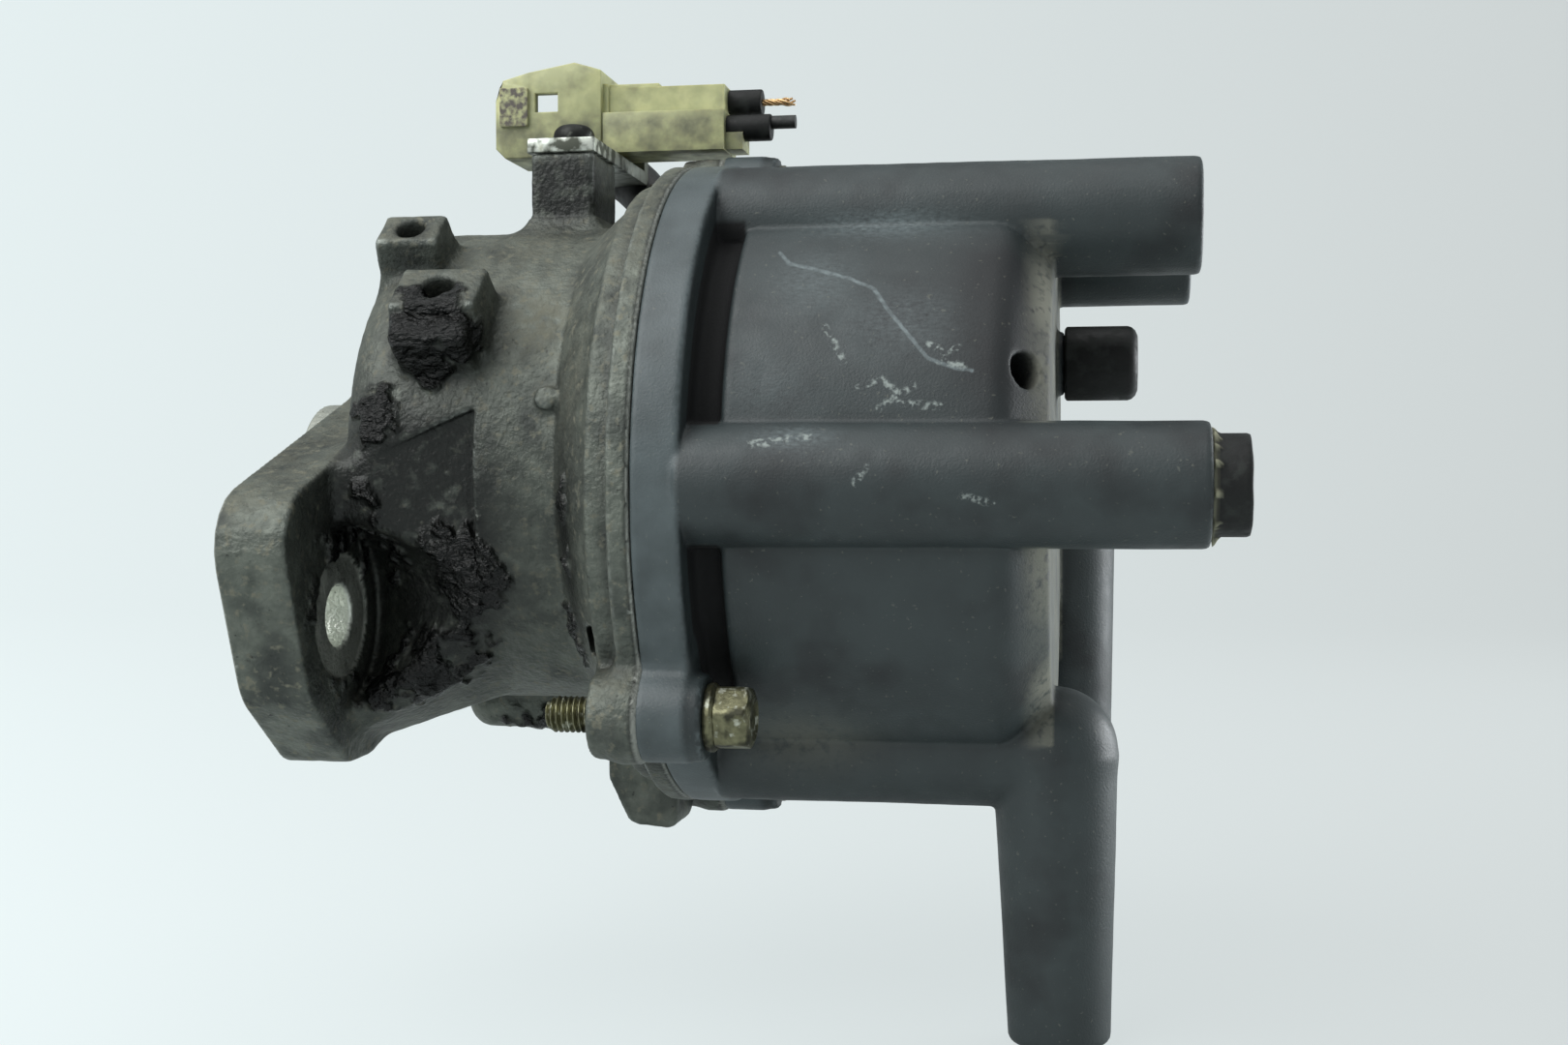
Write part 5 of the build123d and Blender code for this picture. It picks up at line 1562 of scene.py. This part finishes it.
@dataclass
class CapBolts:
    """Three M5 flange bolts with cut threads and rubbed hexagon heads."""

    ears: Ears
    head_x: float = 67.5
    length: float = 22.4
    pitch: float = 0.8
    radius: float = 2.5
    depth: float = 0.49
    hexagon: float = 4.0
    flange_r: float = 4.7
    flange_height: float = 1.4
    head_height: float = 4.9
    around: int = 72

    def rings(self) -> tuple[Array, Array]:
        """(n,) X places and (n, around) radii, from the thread's tip to the head's top.

        The thread's radius is a triangle wave of X over the pitch less the turn. The hexagon's radius is
        its half width over the cosine of the turn counted from the middle of a flat, and a cone that
        falls towards the top rounds its corners.
        """
        turn = np.linspace(0.0, 2 * math.pi, self.around, endpoint=False)
        tip = self.head_x - self.length
        x = np.arange(tip, self.head_x - 0.4, self.pitch / 10)
        wave = np.abs(((x[:, None] / self.pitch - turn[None] / (2 * math.pi)) % 1.0) * 2 - 1)
        crest = np.clip(wave * 1.35 - 0.1, 0.0, 1.0)
        lead_in = np.clip((x - tip) / 1.0, 0.0, 1.0)[:, None]
        thread = self.radius - self.depth * (1 - crest) - 0.6 * (1 - lead_in)
        base, top = self.head_x + self.flange_height, self.head_x + self.flange_height + self.head_height
        flange_x = np.array([self.head_x - 0.3, self.head_x, self.head_x + 0.4, base - 0.5, base - 0.15, base])
        flange_r = np.array([self.radius, self.flange_r - 0.15, self.flange_r, self.flange_r,
                             self.flange_r - 0.3, 4.2])
        flat = self.hexagon / np.cos((turn + math.pi / 6) % (math.pi / 3) - math.pi / 6)
        flat = np.minimum(flat, self.hexagon / math.cos(math.pi / 6) - 0.14)
        head_x = np.concatenate([[base + 0.05], np.linspace(base + 0.5, top - 1.1, 3),
                                 np.linspace(top - 0.9, top, 8)])
        cone = self.hexagon + 0.75 - 0.9 * step_up(head_x, top - 1.3, top) - 0.7 * step_up(head_x, top - 0.35, top)
        head = np.minimum(flat[None], cone[:, None])
        dish_x = np.array([top - 0.02, top - 0.3, top - 0.45])
        dish_r = np.array([3.1, 2.7, 1.2])
        radii = [thread, np.broadcast_to(flange_r[:, None], (6, self.around)), head,
                 np.broadcast_to(dish_r[:, None], (3, self.around))]
        return np.concatenate([x, flange_x, head_x, dish_x]), np.concatenate(radii)

    def build(self, shop: Workshop) -> None:
        """Turns one bolt for each ear, each at its own angle, and joins them into one piece."""
        x, radii = self.rings()
        turn = np.linspace(0.0, 2 * math.pi, self.around, endpoint=False)
        bolts = []
        for k, angle in enumerate(self.ears.angles):
            y, z = polar(self.ears.circle, angle)
            spin = turn + math.radians(17.0 + 23.0 * k)
            rings = np.stack([np.broadcast_to(x[:, None], radii.shape), y + radii * np.cos(spin),
                              z + radii * np.sin(spin)], -1)
            bolts.append(skin(f"cap_bolt_{k + 1}", rings))
        joined = join(bolts, "cap_bolt_set")
        joined.data.set_sharp_from_angle(angle=math.radians(38.0))
        shop.fit(joined, "yellow_zinc", stands_for=("cap_bolts",))


@dataclass
class Vent:
    """The rubber breather plug in the end wall."""

    start: float = 114.3
    length: float = 11.0
    radius: float = 5.7
    centre: Pair = (4.0, 18.6)

    def build(self, shop: Workshop) -> None:
        """Turns the neck, the cup and its rounded end."""
        a, r, end = self.start, self.radius, self.start + self.length
        profile = [(a - 5.0, 1.8), (a - 0.1, 1.8), (a, r - 0.4), (a + 0.3, r), (end - 1.5, r),
                   (end - 0.9, r - 0.2), (end - 0.35, r - 0.7), (end, r - 1.5), (end - 0.02, 2.6),
                   (end - 0.5, 2.2), (end - 0.55, 0.6)]
        obj = lathe("vent_plug_piece", profile, self.centre, 72)
        round_edges(obj, 0.12, 2, 35.0)
        shop.fit(obj, "black_rubber", stands_for=("vent_plug",))


@dataclass
class BootStub:
    """What is left of a lead's rubber boot in the side tower, torn round the tower's mouth."""

    start: float = 123.7
    mouth: float = 133.7
    end: float = 138.8
    centre: Pair = (-41.4, 0.0)
    outer: float = 6.6
    inner: float = 3.8
    around: int = 120

    def build(self, shop: Workshop) -> None:
        """A sleeve with torn slivers where it leaves the mouth: their reach varies with noise of the turn.

        Each line of the sleeve is its X places and its radius: up the outside, round the rim and back
        down the bore.
        """
        turn = np.linspace(0.0, 2 * math.pi, self.around, endpoint=False)
        circle = np.stack([np.zeros(self.around), 7.0 * np.cos(turn), 7.0 * np.sin(turn)], 1)
        rim = self.end - 0.2 + 0.15 * value_noise(circle, 3.0, Seed.TEAR)
        sliver = 1.6 * np.clip(value_noise(circle, 0.7, Seed.SLIVERS) - 0.1, 0.0, 0.8)
        still = np.zeros(self.around)
        lines = [(self.start + 0.1 + still, self.inner), (self.start + still, self.inner + 0.2),
                 (self.start + still, self.outer - 0.3), (self.start + 0.3 + still, self.outer)]
        lines += [(still + x, self.outer) for x in np.linspace(self.start + 1.0, self.mouth, 6)]
        lines += [(self.mouth + out + still, self.outer + share * sliver)
                  for out, share in ((0.08, 0.2), (0.2, 1.0), (0.5, 0.8), (0.9, 0.3), (1.3, 0.0))]
        lines += [(rim - back, self.outer) for back in (3.0, 2.0, 1.0, 0.5)]
        lines += [(rim - 0.1, self.outer - 0.15), (rim, self.outer - 0.5), (rim - 0.25, self.outer - 1.3),
                  (rim - 0.5, self.inner + 0.5), (rim - 0.8, self.inner)]
        lines += [(self.start + (rim - self.start) * s, self.inner) for s in (0.7, 0.4, 0.1)]
        wear = 0.12 * value_noise(circle, 1.4, Seed.WEAR)
        radii = np.stack([still + r + wear * (np.asarray(r) > 6) for _, r in lines])
        x = np.stack([place for place, _ in lines])
        rings = np.stack([x, self.centre[0] + radii * np.cos(turn), self.centre[1] + radii * np.sin(turn)], -1)
        obj = loop_skin("boot_stub_piece", rings)
        points, _ = mesh_arrays(obj)
        off = np.hypot(points[:, 1] - self.centre[0], points[:, 2] - self.centre[1])
        joint = 0.6 * step_up(-np.abs(points[:, 0] - self.mouth - 0.2), -0.35, -0.2) * (off > self.outer - 0.3)
        paint(obj, "torn", np.maximum(joint, step_up(off, self.outer + 0.1, self.outer + 0.5)))
        shop.fit(obj, "black_rubber", stands_for=("lead_boot_stub",))


@dataclass
class PanScrew:
    """The small screw that holds the bracket on its post: a domed head, dished on top, and a plain shank."""

    centre: Pair = (36.7, 2.0)
    seat: float = 54.2
    head_r: float = 3.3
    head_height: float = 3.1
    length: float = 9.0
    radius: float = 2.0

    def build(self, shop: Workshop) -> None:
        """Turns the screw about Z: the rings of an X-wise lathe stood up."""
        top = self.seat + self.head_height
        t = np.linspace(0.0, math.pi / 2, 9)
        dome = [(top - 1.9 + 1.9 * math.sin(a), self.head_r * (0.42 + 0.58 * math.cos(a))) for a in t]
        profile = [(self.seat - self.length, 1.2), (self.seat - self.length + 0.6, self.radius),
                   (self.seat - 0.05, self.radius), (self.seat, self.head_r - 0.2), (self.seat + 0.2, self.head_r)]
        profile += dome + [(top - 0.05, 1.0), (top - 1.2, 0.5)]
        obj = lathe("bracket_screw_piece", profile)
        points, _ = mesh_arrays(obj)
        stood = np.stack([self.centre[0] - points[:, 2], self.centre[1] + points[:, 1], points[:, 0]], 1)
        move_points(obj, stood)
        shop.fit(obj, "dark_steel", stands_for=("bracket_screw",))


@dataclass
class Connector:
    """The plug connection on its bracket: two nylon halves, their seals and the bare strands of a cut lead."""

    window_x: Pair = (20.5, 31.5)
    window_y: Pair = (15.0, 30.0)
    window_z: Pair = (62.1, 67.6)

    def build(self, shop: Workshop) -> None:
        """Softens the nylon halves, the bracket and the seals, opens the window, and adds the bare strands."""
        for node_name, slot, width in (("connector_socket", "natural_nylon", 0.5),
                                       ("connector_plug", "natural_nylon", 0.4),
                                       ("connector_bracket", "bright_zinc", 0.35),
                                       ("wire_seals", "black_rubber", 0.3)):
            obj = softened_copy(node_name, width, 3, flats=node_name != "connector_socket")
            if node_name == "connector_socket":
                self.hollow(obj)
                points, _ = mesh_arrays(obj)
                paint(obj, "pad", np.where(points[:, 1] < points[:, 1].min() + 0.55, 1.0, 0.0))
            if node_name == "connector_bracket":
                points, _ = mesh_arrays(obj)
                # Darker towards the back, away from the key light: painted shadow with grime.
                paint(obj, "grime_and_shadow", step_up(points[:, 1], -2.0, 12.0))
            shop.fit(obj, slot, stands_for=(node_name,))
        self.strands(shop)

    def hollow(self, obj: bpy.types.Object) -> None:
        """Opens the socket half behind its window's front wall, so that the room behind shows through."""
        (x0, x1), (z0, z1), (y0, y1) = self.window_x, self.window_z, self.window_y
        corners = np.array([(x, y, z) for x in (x0, x1) for y in (y0, y1) for z in (z0, z1)])
        faces = np.array([(0, 1, 3, 2), (4, 6, 7, 5), (0, 4, 5, 1), (2, 3, 7, 6), (0, 2, 6, 4), (1, 5, 7, 3)])
        cutter = write_mesh("window_cutter", corners, faces)
        opening = obj.modifiers.new("opening", "BOOLEAN")
        opening.operation = "DIFFERENCE"
        opening.object = cutter
        bake_modifiers(obj)
        bpy.data.objects.remove(cutter)
        obj.data.set_sharp_from_angle(angle=SHARP)

    def strands(self, shop: Workshop) -> None:
        """Twisted strands of the bare lead, each a helix about the lead's line, a little frayed at its end."""
        low, high = (np.array(p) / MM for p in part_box("cut_copper_strand"))
        middle, start, end = (low + high) / 2, low[0] - 1.0, high[0]
        t = np.linspace(0.0, 1.0, 40)
        wires = []
        for k in range(7):
            lay_r = 0.0 if k == 6 else 0.38
            turn = 2 * math.pi * (k / 6 + 1.1 * t)
            reach = lay_r * (1.0 + 0.35 * t ** 3 * (k % 3))
            length = start + (end - start) * t * (1.0 - 0.07 * ((k * 5) % 4))
            line = np.stack([length, middle[1] + reach * np.cos(turn), middle[2] + reach * np.sin(turn)], 1)
            wires.append(skin(f"strand_{k}", tube_rings(line, np.full(40, 0.19), 10)))
        shop.fit(join(wires, "cut_strand_piece"), "copper", stands_for=("cut_copper_strand",))


@dataclass
class PickupLead:
    """The sleeved lead from the housing up to the connector, ribbed by the wires under its sleeve."""

    radius: float = 2.3
    sleeve: float = 2.1
    around: int = 40
    route: tuple[Point, ...] = (
        (45.5, 28.0, 31.0), (45.5, 28.0, 44.0), (39.0, 36.0, 53.5), (27.8, 33.7, 59.5), (27.8, 26.5, 59.5))

    def build(self, shop: Workshop) -> None:
        """Carries a circle with a two-lobed ripple along the captive lead's smooth line."""
        curve = bpy.data.curves.new("lead_line", "CURVE")
        curve.dimensions = "3D"
        spline = curve.splines.new("NURBS")
        spline.points.add(len(self.route) - 1)
        for point, place in zip(spline.points, self.route):
            point.co = (*[v * MM for v in place], 1.0)
        spline.order_u = 3
        spline.use_endpoint_u = True
        curve.resolution_u = 24
        holder = stand("lead_line", curve)
        mesh = bpy.data.meshes.new_from_object(holder)
        line = np.array([v.co[:] for v in mesh.vertices]) / MM
        bpy.data.objects.remove(holder)
        count = len(line)
        turn = np.linspace(0.0, 2 * math.pi, self.around, endpoint=False)
        along = np.linspace(0.0, 1.0, count)
        ripple = 0.1 * np.cos(2 * turn[None] + 9.0 * along[:, None]) - 0.1
        places = (np.repeat(line[:, 0], self.around) + np.tile(turn * 2, count))[:, None] * np.ones(3)
        ripple = ripple + 0.07 * value_noise(places, 1.5, Seed.SLEEVE).reshape(count, self.around)
        bulge = step_up(along, 0.1, 0.35) * step_up(-along, -0.9, -0.62)
        obj = skin("pickup_lead_piece", tube_rings(line, self.radius + self.sleeve * bulge, self.around, ripple))
        shop.fit(obj, "lead_sleeve", stands_for=("pickup_lead",))


@dataclass
class Brush:
    """The carbon brush, hollow at its back, where its spring enters as the brush is pushed in."""

    start_r: float = 1.9
    round_off: float = 0.6
    wall: float = 0.2
    hollow: float = 1.7

    def build(self, shop: Workshop) -> None:
        """Turns the brush to the size of the frame's."""
        low, high = (np.array(p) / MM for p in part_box("carbon_brush"))
        start, end, radius = low[0], high[0], high[2]
        profile = [(start, self.start_r), (start + self.round_off, radius), (end, radius), (end, radius - self.wall),
                   (end - self.hollow, radius - self.wall)]
        obj = lathe("carbon_brush_piece", profile, around=48)
        obj.data.set_sharp_from_angle(angle=SHARP)
        shop.fit(obj, "carbon", Body.BRUSH, ("carbon_brush",))


@dataclass
class DriveEnd:
    """What turns: the dog, its pin, the shaft, the toothed rotor, and the rotor arm with blade and screws."""

    def build(self, shop: Workshop) -> None:
        """Copies each piece of the frame with softened edges."""
        for name, slot, width in (("drive_dog", "steel", 0.4), ("dog_pin", "steel", 0.3),
                                  ("drive_shaft", "steel", 0.25), ("signal_rotor", "steel", 0.25),
                                  ("rotor_arm", "rotor_moulding", 0.5), ("rotor_blade", "brass", 0.2),
                                  ("rotor_screws", "brass", 0.2)):
            shop.fit(softened_copy(name, width), slot, Body.ROTATING, (name,))


@dataclass(frozen=True)
class Lamp:
    """A square soft light: its place, what it faces and its side in metres, its power in watts, its tint."""

    name: str
    place: Point
    aim: Point
    size: float
    power: float
    tint: str

    def hang(self) -> None:
        """Hangs the light."""
        data = bpy.data.lights.new(self.name, "AREA")
        data.size, data.energy, data.color = self.size, self.power, linear(self.tint)[:3]
        way = Vector(self.aim) - Vector(self.place)
        turn = way.to_track_quat("-Z", "Y").to_matrix().to_4x4()
        stand(self.name, data).matrix_world = Matrix.Translation(Vector(self.place)) @ turn


@dataclass
class Studio:
    """A white table and backdrop under soft light, and the camera at the photograph's angle.

    The table runs from its front edge, through a quarter circle, to the backdrop behind and its top.
    """

    eye: Point = (119.4, -284.4, 0.3)
    yaw: float = 9.65
    pitch: float = -1.24
    focal_px: float = 1907.0
    frame_px: Pair = (1620.0, 1080.0)
    sensor: float = 36.0
    table_z: float = -81.2
    front: float = -2500.0
    bend: float = 700.0
    behind: float = 1500.0
    top: float = 2000.0
    half_width: float = 2500.0
    room: str = "#eef3f4"
    card: str = "#c9cfcf"
    left: str = "#effafb"
    right: str = "#d2d8d8"
    fade: Pair = (-0.64, 0.3)
    lamps: tuple[Lamp, ...] = (Lamp("key", (-0.55, -0.6, 0.75), (0.06, 0.0, 0.0), 1.1, 15.0, "#fdfefe"),
                               Lamp("top", (0.06, -0.1, 0.9), (0.06, 0.0, 0.0), 0.9, 2.5, "#fdfefe"),
                               Lamp("rim", (0.7, 0.3, 0.05), (0.08, 0.0, 0.0), 0.4, 5.0, "#f4f8fb"))

    def camera(self) -> None:
        """Stands the camera; the focal length over the frame's width, in pixels, is lens over sensor."""
        data = bpy.data.cameras.new("camera")
        data.sensor_width = self.sensor
        data.lens = self.focal_px * self.sensor / self.frame_px[0]
        data.clip_start, data.clip_end = 0.01, 20.0
        holder = stand("camera", data)
        a, b = math.radians(self.yaw), math.radians(self.pitch)
        forward = Vector((-math.sin(a) * math.cos(b), math.cos(a) * math.cos(b), math.sin(b)))
        right = Vector((math.cos(a), math.sin(a), 0.0))
        up = right.cross(forward)
        turn = Matrix((right, up, -forward)).transposed().to_4x4()
        holder.matrix_world = Matrix.Translation(Vector(self.eye) * MM) @ turn
        bpy.context.scene.camera = holder

    def surroundings(self) -> None:
        """Gives the world an even white that metals see as the photograph's white room.

        Its strength is 0.42 for the light it casts, 0.4 more where the camera sees it and 0.2 more where
        a gloss reflects it.
        """
        world = bpy.data.worlds.new("room")
        world.use_nodes = True
        bpy.context.scene.world = world
        tree = world.node_tree
        rays = node(tree, "LightPath")
        seen = node(tree, "Math", {0: rays.outputs["Is Camera Ray"], 1: 0.4, 2: 0.42}, operation="MULTIPLY_ADD")
        level = node(tree, "Math", {0: rays.outputs["Is Glossy Ray"], 1: 0.2, 2: seen.outputs[0]},
                     operation="MULTIPLY_ADD")
        shade = tree.nodes["Background"]
        shade.inputs["Color"].default_value = linear(self.room)
        tree.links.new(level.outputs[0], shade.inputs["Strength"])

    def sweep(self) -> None:
        """A table that curves up behind the part into a backdrop: a quarter circle between two flats."""
        turn = np.linspace(0.0, math.pi / 2, 24)
        bend, columns = self.bend, 12
        y = np.concatenate([[self.front], self.behind - bend + bend * np.sin(turn), [self.behind]])
        z = np.concatenate([[0.0], bend - bend * np.cos(turn), [self.top]]) + self.table_z
        x = np.linspace(-self.half_width, self.half_width, columns)
        grid = np.stack([np.broadcast_to(axis, (columns, len(y))) for axis in (x[:, None], y, z)], -1)
        r, c = np.arange(columns - 1)[:, None], np.arange(len(y) - 1)[None, :]
        here = r * len(y) + c
        faces = np.stack([here, here + len(y), here + len(y) + 1, here + 1], -1).reshape(-1, 4)
        obj = write_mesh("table_sweep", grid.reshape(-1, 3), faces)
        obj.data.materials.append(self.table_material())

    def table_material(self) -> bpy.types.Material:
        """White card that the part still casts its shadow on.

        Its white is painted to fade from left to right, as light falls off across the room, with the slope of the line
        from the photograph's standpoint to the place: across over depth, both fixed on the card.
        """
        made = bpy.data.materials.new("white_card")
        made.use_nodes = True
        tree = made.node_tree
        shader = tree.nodes["Principled BSDF"]
        shader.inputs["Base Color"].default_value = linear(self.card)
        shader.inputs["Roughness"].default_value = 0.9
        place = node(tree, "TexCoord").outputs["Object"]
        axes = node(tree, "SeparateXYZ", {0: place})
        depth = node(tree, "Math", {0: axes.outputs[1], 1: self.eye[1] * MM}, operation="SUBTRACT")
        deep = node(tree, "Math", {0: depth.outputs[0], 1: 0.05}, operation="MAXIMUM")
        across = node(tree, "Math", {0: axes.outputs[0], 1: self.eye[0] * MM}, operation="SUBTRACT")
        slant = node(tree, "Math", {0: across.outputs[0], 1: deep.outputs[0]}, operation="DIVIDE")
        share = node(tree, "MapRange", {"Value": slant.outputs[0], "From Min": self.fade[0],
                                        "From Max": self.fade[1]})
        tone = node(tree, "Mix", {0: share.outputs[0], 6: linear(self.left), 7: linear(self.right)},
                    data_type="RGBA")
        shown = node(tree, "Emission", {"Color": tone.outputs[2], "Strength": 1.0})
        rays = node(tree, "LightPath")
        seen = node(tree, "Math", {0: rays.outputs["Is Camera Ray"], 1: 0.85}, operation="MULTIPLY")
        mixed = node(tree, "MixShader", {0: seen.outputs[0], 1: shader.outputs[0], 2: shown.outputs[0]})
        tree.links.new(mixed.outputs[0], tree.nodes["Material Output"].inputs["Surface"])
        return made

    def build(self) -> None:
        """Stands the camera, lights and table."""
        self.camera()
        self.surroundings()
        self.sweep()
        for lamp in self.lamps:
            lamp.hang()
        bpy.context.scene.view_settings.view_transform = "Standard"


def main() -> None:
    """Builds the studio and the part's assemblies in order."""
    ears = Ears()
    shop = Workshop()
    Studio().build()
    for assembly in (Housing(ears), Cap(ears), CapBolts(ears), Vent(), BootStub(), PanScrew(), Connector(),
                     PickupLead(), Brush(), DriveEnd()):
        log.info("building %s", type(assembly).__name__)
        assembly.build(shop)
    shop.dress_nodes()


if __name__ == "__main__":
    main()
